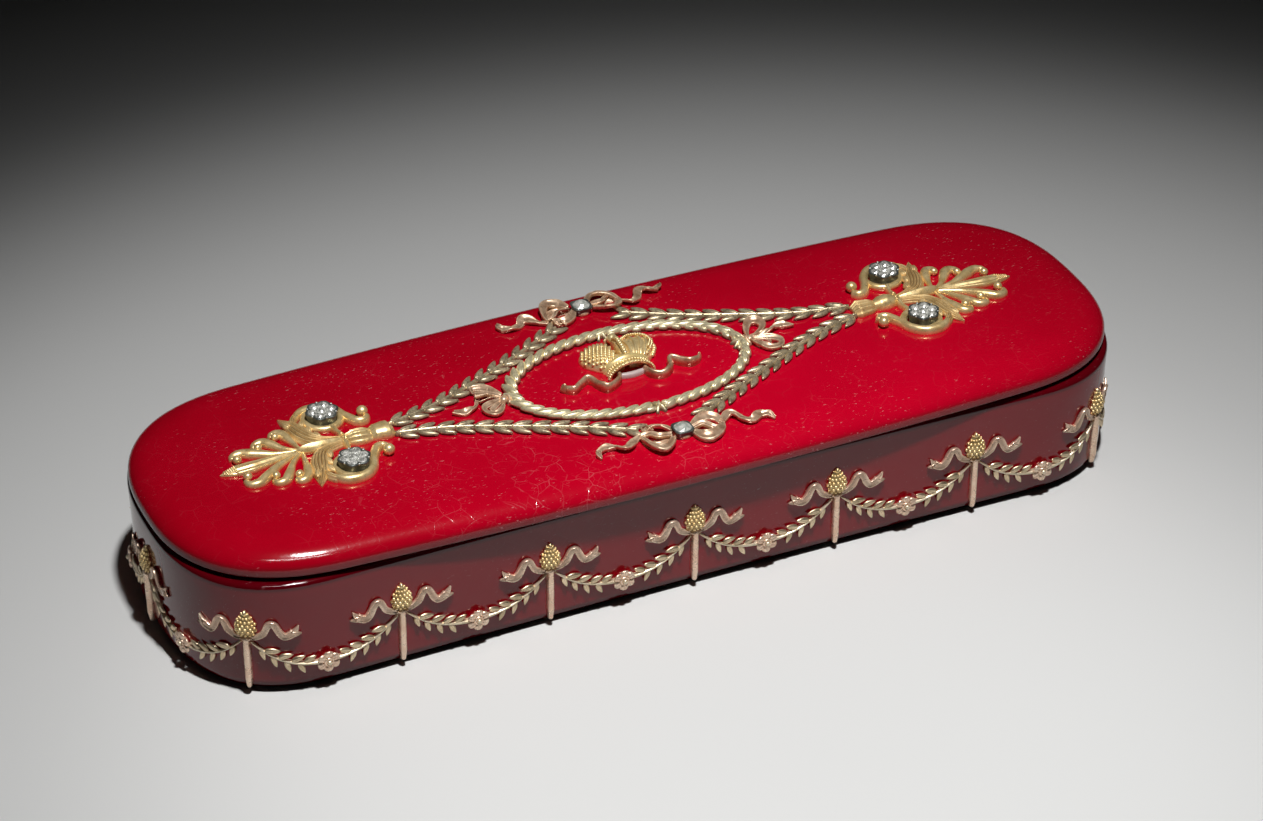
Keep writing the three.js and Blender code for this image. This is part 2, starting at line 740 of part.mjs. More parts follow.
// The crown in half relief: an arched band that is open to the front, two half domes, an arch
// between them and a bead on top
function makeCrown() {
  const half = crownWidth / 2;
  const bandLength = crownLength * 0.235;
  const band = new THREE.CylinderGeometry(crownBandHalf * 1.12, crownBandHalf, bandLength, 16);
  band.scale(1, 1, (crownHeight * 0.92) / crownBandHalf);
  band.translate(0, crownFront + bandLength / 2, 0);
  const middle = crownFront + crownLength * 0.5;
  const domeY = crownFront + crownLength * 0.54;
  const domeReach = crownLength * 0.41;
  const pieces = [
    band,
    dome(0, middle, 0, half * 0.17, crownLength * 0.5, crownHeight * 1.02, 8, 8),
    bead(0, crownFront + crownLength, crownHeight * 0.25, crownHeight * 0.33),
  ];
  for (const side of [1, -1]) {
    pieces.push(dome(side * half * 0.48, domeY, 0, half * 0.52, domeReach, crownHeight * 0.88, 10, 8));
  }
  const mouth = crownBandHalf * 0.82;
  const inside = new THREE.CylinderGeometry(mouth, mouth, crownLength * 0.3, 16);
  inside.scale(1, 1, (crownHeight * 0.72) / mouth);
  inside.translate(0, crownFront, 0);
  const solid = cutBack(joined(pieces).subtract(solidOf(inside)));
  return bentOnto(geometryOf(solid), onLid);
}

// The ribbon that passes in front of the crown and waves out on both sides, standing on edge
function makeCrownRibbon() {
  const near = crownFront - seatGap - crownRibbonThickness;
  // Shares of the ribbon's reach
  const wave = [
    [0, 0], [0.22, -0.01], [0.36, -0.16], [0.48, -0.1], [0.58, 0.06], [0.68, 0.02],
    [0.8, -0.06], [1, 0.01],
  ];
  const half = wave.map(([x, y]) => [x * crownRibbonReach, near + y * crownRibbonReach]);
  const left = half.slice(1).reverse().map(([x, y]) => [-x, y]);
  const ribbonEdge = crownRibbonThickness / 2;
  const ribbon = strip([...left, ...half], ribbonEdge, ribbonEdge, crownRibbonHeight, 30);
  return bentOnto(geometryOf(solidOf(ribbon)), onLid);
}

const box = new THREE.Group();

function addPiece(name, geometry, color, metalness, roughness) {
  const material = new THREE.MeshStandardMaterial({ color, metalness, roughness });
  const mesh = new THREE.Mesh(geometry, material);
  mesh.name = name;
  box.add(mesh);
}

addPiece('box_body', makeBody(), lacquerRed, 0, 0.2);
addPiece('inner_sleeve', makeSleeve(), lacquerRed, 0, 0.4);
for (let i = 0; i < bayCount; i += 1) {
  const number = String(i + 1).padStart(2, '0');
  addPiece(`thyrsus_${number}`, makeThyrsus(i * bayPitch), roseGold, 1, 0.35);
  addPiece(`festoon_${number}`, makeFestoon((i + 0.5) * bayPitch), greenGold, 1, 0.4);
}

addPiece('lid_shell', makeLid(), lacquerRed, 0, 0.2);
addPiece('laurel_wreath', makeWreath(), greenGold, 1, 0.45);
addPiece('crown', makeCrown(), yellowGold, 1, 0.35);
addPiece('crown_ribbon', makeCrownRibbon(), roseGold, 1, 0.3);
for (const [side, facing] of [['right', 1], ['left', -1]]) {
  addPiece(`anthemion_${side}`, makeAnthemion(facing), yellowGold, 1, 0.35);
  addPiece(`wreath_bow_${side}`, makeWreathBow(facing), roseGold, 1, 0.4);
  for (const [end, along] of [['front', -1], ['back', 1]]) {
    const x = facing * clusterX;
    const y = along * clusterY;
    addPiece(`collet_${end}_${side}`, makeClusterCollet(x, y), oldSilver, 1, 0.4);
    addPiece(`stones_${end}_${side}`, makeClusterStones(x, y), stoneGrey, 0, 0.05);
    addPiece(`garland_${end}_${side}`, makeGarland(facing, along), greenGold, 1, 0.45);
  }
}
for (const [end, facing] of [['front', -1], ['back', 1]]) {
  addPiece(`bow_${end}`, makeBow(facing), roseGold, 1, 0.4);
  addPiece(`bow_collet_${end}`, makeBowCollet(facing), oldSilver, 1, 0.4);
  addPiece(`bow_stone_${end}`, makeBowStone(facing), stoneGrey, 0, 0.05);
}

export default box;
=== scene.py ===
import math
import bpy
import numpy as np
from mathutils import Matrix, Vector


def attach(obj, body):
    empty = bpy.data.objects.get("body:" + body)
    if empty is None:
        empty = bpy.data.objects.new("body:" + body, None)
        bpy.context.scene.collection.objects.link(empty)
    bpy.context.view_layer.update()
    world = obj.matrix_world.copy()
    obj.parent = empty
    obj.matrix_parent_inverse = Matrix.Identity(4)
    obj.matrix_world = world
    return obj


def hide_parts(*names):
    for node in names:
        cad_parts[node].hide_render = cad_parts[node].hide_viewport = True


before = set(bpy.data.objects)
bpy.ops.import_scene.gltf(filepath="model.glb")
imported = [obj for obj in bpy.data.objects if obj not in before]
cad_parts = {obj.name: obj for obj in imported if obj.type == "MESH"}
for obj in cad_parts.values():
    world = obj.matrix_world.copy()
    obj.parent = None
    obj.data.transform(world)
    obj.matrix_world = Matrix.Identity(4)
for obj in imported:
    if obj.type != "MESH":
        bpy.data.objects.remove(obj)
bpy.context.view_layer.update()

# All sizes below are millimetres. The place of a piece is in its mesh, in metres.
toMetres = 0.001
tau = 2 * math.pi

box = {
    "length": 220, "bodyWidth": 68.2, "bodyHeight": 27.5, "bodyEndReach": 29.8,
    "bodyRoundness": 2.53, "bodySideDip": 0.7, "bodyTaper": 0.6,
    "wall": 3, "floor": 4, "footRadius": 3.6, "rimRadius": 1.1,
    "sleeveWall": 1.8, "sleeveRise": 3, "seat": 0.3, "sleeveGap": 0.35,
    "lidOverhang": 2.7, "lidSideBow": 1.8, "lidEndReach": 33.5, "lidRoundness": 2.61,
    "lidGap": 1, "lidSide": 1.2, "lidRollWidth": 8.7, "lidRollHeight": 4.6, "lidEdge": 0.45,
}
halfLength = box["length"] / 2
bodyHalfWidth = box["bodyWidth"] / 2
lidHalfWidth = bodyHalfWidth + box["lidOverhang"]
lidBottom = box["bodyHeight"] + box["lidGap"]
lidRollStart = lidBottom + box["lidSide"]
lidTop = lidRollStart + box["lidRollHeight"]
bodyPlan = {"halfWidth": bodyHalfWidth, "sideStart": halfLength - box["bodyEndReach"],
    "roundness": box["bodyRoundness"], "bow": -box["bodySideDip"]}
lidPlan = {"halfWidth": lidHalfWidth, "sideStart": halfLength - box["lidEndReach"],
    "roundness": box["lidRoundness"], "bow": box["lidSideBow"]}


# shapes as whole arrays

def lengths(line):
    # The length run so far at each point of a line.
    return np.concatenate([[0], np.cumsum(np.linalg.norm(np.diff(line[:, :2], axis=0), axis=1))])


def along(points, count):
    # A smooth line through the points (Catmull-Rom: each stretch is the cubic whose ends keep
    # the direction of the neighbours), stepped evenly by its length.
    p = np.asarray(points, float)
    p = np.vstack([2 * p[0] - p[1], p, 2 * p[-1] - p[-2]])
    t = np.linspace(0, 1, 24, endpoint=False)[None, :, None]
    a, b, c, d = (p[i:len(p) - 3 + i][:, None, :] for i in range(4))
    square, cube = 2 * a - 5 * b + 4 * c - d, 3 * b - a - 3 * c + d
    line = 0.5 * (2 * b + (c - a) * t + square * t ** 2 + cube * t ** 3)
    line = np.vstack([line.reshape(-1, p.shape[1]), p[-2]])
    run = lengths(line)
    return places(line, run, np.linspace(0, run[-1], count))


def places(line, run, at):
    # The points of a line at the lengths at, where run holds the length at each of its points.
    return np.stack([np.interp(at, run, values) for values in line.T], -1)


def headings(line, run, at, step):
    # Those points, the points one step further, and the direction from the first to the second.
    spot, ahead = places(line, run, at), places(line, run, at + step)
    return spot, ahead, np.arctan2(*(ahead - spot).T[::-1])


def atLevel(flat, level):
    # Points on the flat with a height added, one for all or one each.
    return np.column_stack([flat, np.broadcast_to(level, len(flat))])


def ringOf(angles, radius, up=0):
    # Points round a middle on the axis: (radius cos(angle), up + radius sin(angle)).
    return np.stack([radius * np.cos(angles), up + radius * np.sin(angles)], -1)


def spread(values, count):
    # The values laid out evenly over count steps, with straight runs between them.
    values = np.atleast_1d(np.asarray(values, float))
    if len(values) == 1:
        return np.full(count, values[0])
    return np.interp(np.linspace(0, 1, count), np.linspace(0, 1, len(values)), values)


def skin(rings, first, last):
    # rings is (..., rows, around, 3): each row of points is a ring, and the two given points
    # close the ends. Gives the points and the faces of every member, facing outwards.
    rings = np.asarray(rings, float)
    rows, around = rings.shape[-3:-1]
    rings = rings.reshape(-1, rows, around, 3)
    members = len(rings)
    ends = [np.broadcast_to(np.asarray(e, float), rings[:, 0, 0].shape)[:, None] for e in (first, last)]
    points = np.concatenate([rings.reshape(members, -1, 3), *ends], 1)
    k = np.arange(around)
    n = (k + 1) % around
    i = (np.arange(rows - 1) * around)[:, None]
    quads = np.stack([i + k, i + n, i + around + n, i + around + k], -1).reshape(-1, 4)
    top = (rows - 1) * around
    tris = np.concatenate([
        np.stack([np.full(around, rows * around), n, k], -1),
        np.stack([np.full(around, rows * around + 1), top + k, top + n], -1)])
    a, b, c, d = (points[:, quads[:, j]] for j in range(4))
    volume = np.einsum("mfi,mfi->m", a, np.cross(b, c)) + np.einsum("mfi,mfi->m", a, np.cross(c, d))
    a, b, c = (points[:, tris[:, j]] for j in range(3))
    volume = volume + np.einsum("mfi,mfi->m", a, np.cross(b, c))
    shift = (np.arange(members) * points.shape[1])[:, None, None]
    outQuads = np.where(volume[:, None, None] < 0, quads[None, :, ::-1], quads[None]) + shift
    outTris = np.where(volume[:, None, None] < 0, tris[None, :, ::-1], tris[None]) + shift
    return points.reshape(-1, 3), outQuads.reshape(-1, 4), outTris.reshape(-1, 3)


def ringed(shape):
    # The same, for a shape in flat rows whose end points are the middles of its end rows.
    shape = np.asarray(shape, float)
    return skin(shape, shape[..., 0, :, :].mean(-2), shape[..., -1, :, :].mean(-2))


def carry(line, halfWidth, height, profile, lift=0, tilt=0, count=40):
    # Carries a closed profile along a line on the flat: a profile point (across, up) lands at
    # line + across * halfWidth sideways, and at lift + up * height + tilt * across above.
    path = along(line, count)
    ahead = np.gradient(path[:, :2], axis=0)
    ahead /= np.linalg.norm(ahead, axis=1)[:, None]
    aside = np.stack([-ahead[:, 1], ahead[:, 0]], -1)
    across, up = (np.asarray(profile, float)[:, i][None] for i in range(2))
    wide, tall, raised, leaning = (spread(v, count)[:, None] for v in (halfWidth, height, lift, tilt))
    flat = path[:, None, :2] + aside[:, None] * (across * wide)[..., None]
    level = raised + up * tall + across * leaning
    if path.shape[1] > 2:
        level = level + path[:, 2:3]
    return ringed(np.concatenate([flat, level[..., None]], -1))


def closedBelow(across, up, foot):
    # A profile open below gets three points at the height foot, so that it closes there.
    return np.vstack([np.stack([across, up], -1), [[0.9, foot], [0, foot], [-0.9, foot]]])


def archProfile(points, power=1, foot=-0.12):
    # Half round on top, flat below: up = cos(angle) ** power.
    angle = np.linspace(-math.pi / 2, math.pi / 2, points)
    return closedBelow(np.sin(angle), np.clip(np.cos(angle), 0, 1) ** power, foot)


def bandProfile(rim, thickness):
    # A flat ribbon in section: a thin strip whose two edges are a little raised and rounded.
    across = np.array([-1, -0.97, -0.86, -0.72, 0, 0.72, 0.86, 0.97, 1])
    up = np.array([0.7, 0.95, 1 + rim, 0.92, 0.86, 0.92, 1 + rim, 0.95, 0.7])
    low = up - thickness
    return np.vstack([np.stack([across, up], -1), np.stack([across, low], -1)[::-1]])


def leaves(base, angle, length, width, height, rise=0, curl=0, rows=9, fold=0.22, blunt=0.8):
    # Leaf blades: half width = width / 2 * sin(pi * v ** 0.8) ** blunt along the blade, an arched
    # top with a groove over the midrib, and a flat underside. rise lifts the tip, curl bends
    # the blade sideways by the square of v.
    base = np.atleast_2d(np.asarray(base, float))
    count = len(base)
    angle, length, width, height, rise, curl = (
        np.broadcast_to(np.asarray(v, float), (count,))[:, None, None]
        for v in (angle, length, width, height, rise, curl))
    v = np.linspace(0, 1, rows + 2)[1:-1][None, :, None]
    s = np.array([-1, -0.85, -0.5, -0.16, 0, 0.16, 0.5, 0.85, 1, 0.4, -0.4])[None, None]
    up = np.array([0.05, 0.42, 0.86, 1, 1 - fold, 1, 0.86, 0.42, 0.05, -0.1, -0.1])[None, None]
    half = width / 2 * np.sin(math.pi * v ** 0.8) ** blunt
    body = height * np.sin(math.pi * np.clip(v, 0.02, 1) ** 0.6) ** 0.5
    forward = v * length + 0 * s
    side = s * half + curl * v ** 2
    level = up * body + rise * v ** 1.5

    def spot(f, a, h):
        x = base[:, 0][:, None, None] + f * np.cos(angle) - a * np.sin(angle)
        y = base[:, 1][:, None, None] + f * np.sin(angle) + a * np.cos(angle)
        z = (base[:, 2][:, None, None] if base.shape[1] > 2 else 0) + h
        return np.stack(np.broadcast_arrays(x, y, z), -1)

    first = spot(0 * length, 0 * length, 0 * length)[:, 0, 0]
    last = spot(length, curl, rise)[:, 0, 0]
    return skin(spot(forward, side, level), first, last)


def beads(centre, radius, squash, rings, around):
    # Round grains: latitude and longitude on a sphere, its height times squash.
    centre = np.atleast_2d(np.asarray(centre, float))
    radius = np.broadcast_to(np.asarray(radius, float), (len(centre),))[:, None, None]
    lat = np.linspace(-math.pi / 2, math.pi / 2, rings + 2)[1:-1][None, :, None]
    lon = (tau * np.arange(around) / around)[None, None]
    shape = np.stack(np.broadcast_arrays(
        centre[:, 0, None, None] + radius * np.cos(lat) * np.cos(lon),
        centre[:, 1, None, None] + radius * np.cos(lat) * np.sin(lon),
        centre[:, 2, None, None] + squash * radius * np.sin(lat)), -1)
    pole = np.concatenate([np.zeros((len(centre), 2)), squash * radius[:, 0]], -1)
    return skin(shape, centre - pole, centre + pole)


def turned(profile, around, centre, wave=None):
    # A profile of (radius, height) turned about an upright axis. wave(angle, step) gives a
    # factor on the radius.
    profile = np.asarray(profile, float)
    angle = tau * np.arange(around) / around
    radius = profile[:, 0][:, None] * np.ones(around)
    if wave is not None:
        radius = radius * wave(angle[None], np.linspace(0, 1, len(profile))[:, None])
    shape = np.stack([centre[0] + radius * np.cos(angle), centre[1] + radius * np.sin(angle),
        profile[:, 1][:, None] + 0 * angle], -1)
    return ringed(shape)


def planLoop(plan, count):
    # The outline seen from above. An end is a superellipse, the sides bow by the square of the
    # distance from the middle. Evenly stepped by length, counter-clockwise from the front.
    turn = np.linspace(0, math.pi / 2, 240)
    end = halfLength - plan["sideStart"]
    power = 2 / plan["roundness"]
    x = plan["sideStart"] + end * np.clip(np.cos(turn), 0, 1) ** power
    y = plan["halfWidth"] * np.sin(turn) ** power
    x = np.concatenate([x, np.linspace(plan["sideStart"], 0, 160)[1:]])
    y = np.concatenate([y, np.full(159, plan["halfWidth"])])
    y = y * (1 - plan["bow"] / plan["halfWidth"] * (x / plan["sideStart"]) ** 2)
    quarter = np.stack([x, y], -1)
    flip = np.array([[1, -1]])
    loop = np.vstack([quarter[::-1] * flip, quarter[1:], quarter[::-1][1:] * -flip, quarter[1:-1] * -1])
    closed = np.vstack([loop, loop[:1]])
    run = lengths(closed)
    return places(closed, run, np.linspace(0, run[-1], count, endpoint=False)), run[-1]


def outwards(loop):
    # The direction across the outline at each of its points, pointing out.
    ahead = np.roll(loop, -1, 0) - np.roll(loop, 1, 0)
    ahead /= np.linalg.norm(ahead, axis=1)[:, None]
    return np.stack([ahead[:, 1], -ahead[:, 0]], -1)


def stacked(loop, profile):
    # Rings of one outline: each (inset, height) of the profile is the outline moved inwards.
    normal = outwards(loop)
    profile = np.asarray(profile, float)
    flat = loop[None] - normal[None] * profile[:, 0][:, None, None]
    level = np.broadcast_to(profile[:, 1][:, None, None], flat.shape[:2] + (1,))
    return np.concatenate([flat, level], -1)


wallLoop, wallLength = planLoop(bodyPlan, 2400)
wallNormal = outwards(wallLoop)
bayCount = 16
bayPitch = wallLength / bayCount


def onWall(points, bay):
    # Flat (sideways, up, outwards) bent round the outline, sideways measured by arc length
    # from the middle of the bay, and leaning with the taper of the wall.
    points = np.asarray(points, float)
    step = (points[:, 0] + bay * bayPitch) / wallLength * len(wallLoop)
    low = np.floor(step).astype(int)
    share = (step - low)[:, None]
    a, b = low % len(wallLoop), (low + 1) % len(wallLoop)
    spot = wallLoop[a] * (1 - share) + wallLoop[b] * share
    normal = wallNormal[a] * (1 - share) + wallNormal[b] * share
    lean = box["bodyTaper"] * (1 - points[:, 1] / box["bodyHeight"])
    spot = spot + normal * (points[:, 2] - lean)[:, None]
    return np.concatenate([spot, points[:, 1:2]], -1)


def lidHeightAt(x, y):
    # The flat of the lid, and near its sides a quarter of an ellipse down to the edge.
    side = lidHalfWidth - box["lidSideBow"] * (x / lidPlan["sideStart"]) ** 2
    share = np.clip((side - np.abs(y)) / box["lidRollWidth"], 0, 1)
    return lidRollStart + box["lidRollHeight"] * np.sqrt(1 - (1 - share) ** 2)


def onLid(points, turnX=1, turnY=1, centre=(0, 0)):
    # Flat (x, y, up), turned over in x or y if told so, moved to centre and set on the lid.
    points = np.array(points, float)
    x = turnX * points[:, 0] + centre[0]
    y = turnY * points[:, 1] + centre[1]
    return np.stack([x, y, lidHeightAt(x, y) + points[:, 2]], -1)


def makePiece(name, parts, body, replaces, place=None, smooth=True):
    # parts is a list of (name of material, (points, quads, triangles)). The mesh is filled by
    # whole arrays, and a mirrored placing has its faces turned back.
    points, quads, tris, quadSlots, triSlots, materials = [], [], [], [], [], []
    shift = 0
    for material, (p, q, t) in parts:
        if material not in materials:
            materials.append(material)
        points.append(p)
        quads.append(q + shift)
        tris.append(t + shift)
        quadSlots.append(np.full(len(q), materials.index(material)))
        triSlots.append(np.full(len(t), materials.index(material)))
        shift += len(p)
    points, quads, tris = np.vstack(points), np.vstack(quads), np.vstack(tris)
    if place is not None:
        probe = place(np.vstack([np.zeros(3), np.eye(3) * 0.05]))
        if np.linalg.det(probe[1:] - probe[0]) < 0:
            quads, tris = quads[:, ::-1], tris[:, ::-1]
        points = place(points)
    mesh = bpy.data.meshes.new(name)
    mesh.vertices.add(len(points))
    mesh.vertices.foreach_set("co", (points * toMetres).astype(np.float32).ravel())
    loops = np.concatenate([quads.ravel(), tris.ravel()]).astype(np.int32)
    mesh.loops.add(len(loops))
    mesh.loops.foreach_set("vertex_index", loops)
    starts = np.concatenate([np.arange(len(quads)) * 4, len(quads) * 4 + np.arange(len(tris)) * 3])
    mesh.polygons.add(len(starts))
    mesh.polygons.foreach_set("loop_start", starts.astype(np.int32))
    mesh.polygons.foreach_set("material_index", np.concatenate(quadSlots + triSlots).astype(np.int32))
    mesh.polygons.foreach_set("use_smooth", np.full(len(starts), smooth))
    for material in materials:
        mesh.materials.append(bpy.data.materials[material])
    mesh.update(calc_edges=True)
    mesh.validate()
    piece = bpy.data.objects.new(name, mesh)
    bpy.context.scene.collection.objects.link(piece)
    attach(piece, body)
    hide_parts(*replaces)


# finishes

class Finish:
    # A new material with short ways to build its nodes. A value is a number, a colour or the
    # output of another node.
    def __init__(self, name, **values):
        self.material = bpy.data.materials.new(name)
        self.material.use_nodes = True
        self.tree = self.material.node_tree
        self.inputs = self.tree.nodes["Principled BSDF"].inputs
        self.where = self.node("ShaderNodeTexCoord").outputs["Object"]
        self.fill(self.inputs, values)

    def fill(self, sockets, values):
        for key, value in values.items():
            if isinstance(value, bpy.types.NodeSocket):
                self.tree.links.new(value, sockets[key])
            elif sockets[key].type == "RGBA":
                sockets[key].default_value = (*value, 1)
            else:
                sockets[key].default_value = value

    def node(self, kind, inputs=None, **settings):
        made = self.tree.nodes.new(kind)
        for key, value in settings.items():
            setattr(made, key, value)
        self.fill(made.inputs, inputs or {})
        return made

    def level(self):
        return self.node("ShaderNodeSeparateXYZ", {"Vector": self.where}).outputs["Z"]

    def moved(self, **inputs):
        return self.node("ShaderNodeMapping", {"Vector": self.where, **inputs}).outputs[0]

    def blend(self, share, first, second):
        return self.node("ShaderNodeMix", {0: share, 6: first, 7: second}, data_type="RGBA",
            clamp_factor=True).outputs[2]

    def math(self, operation, first, second):
        return self.node("ShaderNodeMath", {0: first, 1: second}, operation=operation).outputs[0]

    def times(self, first, second):
        return self.math("MULTIPLY", first, second)

    def most(self, first, second):
        return self.math("MAXIMUM", first, second)

    def remap(self, value, low, high, newLow=0, newHigh=1):
        return self.node("ShaderNodeMapRange", {"Value": value, "From Min": low, "From Max": high,
                "To Min": newLow, "To Max": newHigh}).outputs[0]

    def noise(self, scale, detail, roughness=0.55, where=None):
        return self.node("ShaderNodeTexNoise", {"Vector": where or self.where, "Scale": scale,
                "Detail": detail, "Roughness": roughness}).outputs["Fac"]

    def speckle(self, scale, detail, low, high, newLow=0, newHigh=1, roughness=0.55, where=None):
        # Noise stretched so that its level low gives newLow and its level high gives newHigh.
        return self.remap(self.noise(scale, detail, roughness, where), low, high, newLow, newHigh)

    def patch(self, at, size, far, close, least=0):
        # A soft oval patch: least at the distance far from its middle, and 1 from close inwards.
        away = self.node("ShaderNodeVectorMath", {0: self.moved(Location=at, Scale=size)},
            operation="LENGTH").outputs["Value"]
        return self.remap(away, far, close, least)

    def bump(self, height, strength, distance):
        return self.node("ShaderNodeBump",
            {"Height": height, "Strength": strength, "Distance": distance}).outputs[0]


def lacquer(name, look):
    # Red lacquer under a clear coat: fine cracks in cells, strongest in one patch of the front,
    # short pale scratches, a few chips, one rubbed patch, and a slow unevenness of the surface.
    # Painted light as well: a painted pool of light, painted shade on an edge band and at the foot.
    paint = Finish(name, **{"Roughness": look["roughness"], "Specular IOR Level": 0,
            "Coat Roughness": look["coatRoughness"], "Coat IOR": 1.5})
    drift = paint.node("ShaderNodeTexNoise",
        {"Vector": paint.where, "Scale": look["driftScale"], "Detail": 2})
    warp = paint.node("ShaderNodeVectorMath", {0: drift.outputs["Color"], "Scale": look["drift"]},
        operation="SCALE").outputs[0]
    bent = paint.node("ShaderNodeVectorMath", {0: paint.where, 1: warp}, operation="ADD").outputs[0]

    def cracks(scale, width, share):
        # Fine lines along the borders of scattered cells, bent by a slow noise.
        edge = paint.node("ShaderNodeTexVoronoi", {"Vector": bent, "Scale": scale},
            feature="DISTANCE_TO_EDGE").outputs["Distance"]
        return paint.times(paint.remap(edge, width, 0), share)

    patch = paint.patch(*look["crackPatch"], look["crackElsewhere"])
    patch = paint.times(patch, paint.speckle(*look["crackSpeckle"]))
    lines = paint.most(cracks(*look["wideCracks"]), cracks(*look["fineCracks"]))
    lines = paint.times(lines, paint.times(patch, paint.speckle(*look["gapSpeckle"])))
    # painted pool of light: brighter red at the front middle of the lid, deeper red towards the ends and
    # the back
    inner = paint.patch(*look["paintedLightPool"])
    tone = paint.blend(0.7, paint.speckle(*look["toneSpeckle"]), inner)
    colour = paint.blend(tone, look["dark"], look["bright"])
    level = paint.level()
    # painted shade: on the lid a greyed dark red over the side below the roll, standing in for shade and
    # the floor's reflection; on the wall a dark red over the rim, under the lid's overhang
    colour = paint.blend(paint.remap(level, *look["paintedShadeAt"]), colour, look["edge"])
    # painted shade at the foot: near black low down, and a thinner coat there, so the rounded foot shows
    # neither light nor reflection
    foot = paint.remap(level, *look["footShadeAt"])
    colour = paint.blend(foot, look["footShadeTone"], colour)
    coat = paint.times(paint.remap(foot, 0, 1, 0.15, 1), look["coat"])
    colour = paint.blend(paint.times(lines, look["lineShare"]), colour, look["line"])
    slanted = paint.moved(Rotation=(0, 0, look["dashTurn"]), Scale=look["dashStretch"])
    dashes = paint.speckle(*look["dashSpeckle"], where=slanted)
    chips = paint.speckle(*look["chipSpeckle"])
    worn = paint.times(paint.most(dashes, chips), paint.speckle(*look["wearSpeckle"]))
    # a rubbed patch at the right end, with crossing scratches
    rubbed = paint.times(paint.patch(*look["rubbedPatch"]), paint.speckle(*look["rubbedSpeckle"]))
    for turn in look["scratchTurns"]:
        line = paint.moved(Rotation=(0, 0, turn), Scale=look["scratchStretch"])
        scratch = paint.speckle(*look["scratchSpeckle"], where=line)
        worn = paint.most(worn, paint.times(scratch, rubbed))
    colour = paint.blend(paint.times(worn, look["dust"]), colour, look["dustTone"])
    ripple = paint.times(paint.noise(*look["rippleNoise"]), look["ripple"])
    bump = paint.bump(paint.math("SUBTRACT", ripple, paint.times(lines, 0.12)), 0.4, 0.0003)
    paint.fill(paint.inputs,
        {"Base Color": colour, "Coat Weight": coat, "Normal": bump, "Coat Normal": bump})


lacquerLook = {
    # the foot tone is the near black of the painted shade at the foot
    "dark": (0.42, 0.0003, 0.01), "bright": (0.66, 0.0006, 0.022), "line": (0.9, 0.26, 0.3),
    "footShadeTone": (0.004, 0.002, 0.002), "dustTone": (0.85, 0.36, 0.38), "dust": 0.48,
    "roughness": 0.5, "coat": 0.85, "coatRoughness": 0.12,
    # cracks: scale of the cells, width, share; and how far a slow noise bends them in metres
    "wideCracks": (225, 0.019, 1), "fineCracks": (517.5, 0.0304, 0.35), "crackElsewhere": 0.16,
    "lineShare": 0.3, "driftScale": 150, "drift": 0.0026,
    # the heights in metres between which the edge tone of painted shade comes in, and its share at both;
    # then the heights of the painted shade at the foot
    "edge": (0.1, 0.02, 0.022), "paintedShadeAt": (0.03, 0.0311, 0.5, 0), "footShadeAt": (0.0012, 0.0034),
    # patches: shift, scale, and the distances of no effect and of the full effect; the second one paints a
    # pool of light
    "crackPatch": ((0.75, 1.75, 0), (30, 62, 0), 1.5, 0.5),
    "paintedLightPool": ((-0.21, 0.36, 0), (8.7, 13, 0), 1, 0.25),
    "rubbedPatch": ((-2.6, 0.35, 0), (31, 34, 0), 1, 0.4),
    # speckles: scale, detail, the two levels of the noise, and what they give if not 0 and 1
    "crackSpeckle": (60, 2, 0.36, 0.55), "gapSpeckle": (260, 2, 0.42, 0.52),
    "toneSpeckle": (30, 4, 0.3, 0.7), "dashSpeckle": (1700, 2, 0.67, 0.74),
    "chipSpeckle": (1100, 3, 0.7, 0.75, 0, 1, 0.7), "wearSpeckle": (40, 1, 0.4, 0.55),
    "rubbedSpeckle": (160, 2, 0.42, 0.58, 0, 0.55), "scratchSpeckle": (2100, 2, 0.65, 0.75),
    # short dashes and long scratches: their direction, and the stretch of the noise
    "dashTurn": -0.42, "dashStretch": (0.5, 1.5, 1),
    "scratchTurns": (-0.2, 1.35), "scratchStretch": (0.22, 2.2, 1),
    "ripple": 0.9, "rippleNoise": (90, 4, 0.6),
}
lacquer("lidLacquer", lacquerLook)
# the wall's edge tone is painted shade over the rim, under the lid's overhang
lacquer("wallLacquer", {
    **lacquerLook, "dark": (0.27, 0.0004, 0.007), "bright": (0.36, 0.0007, 0.01),
    "edge": (0.05, 0.0004, 0.003), "paintedShadeAt": (0.0256, 0.0265, 0, 0.75), "lineShare": 0.05,
    "dust": 0.15, "ripple": 0.3, "coat": 1, "coatRoughness": 0.07, "crackElsewhere": 0.3})
lacquer("innerLacquer", {
    **lacquerLook, "dark": (0.16, 0.004, 0.008), "bright": (0.24, 0.006, 0.012),
    "paintedShadeAt": (0, 1, 0, 0), "lineShare": 0, "dust": 0, "coat": 0.3, "coatRoughness": 0.3})


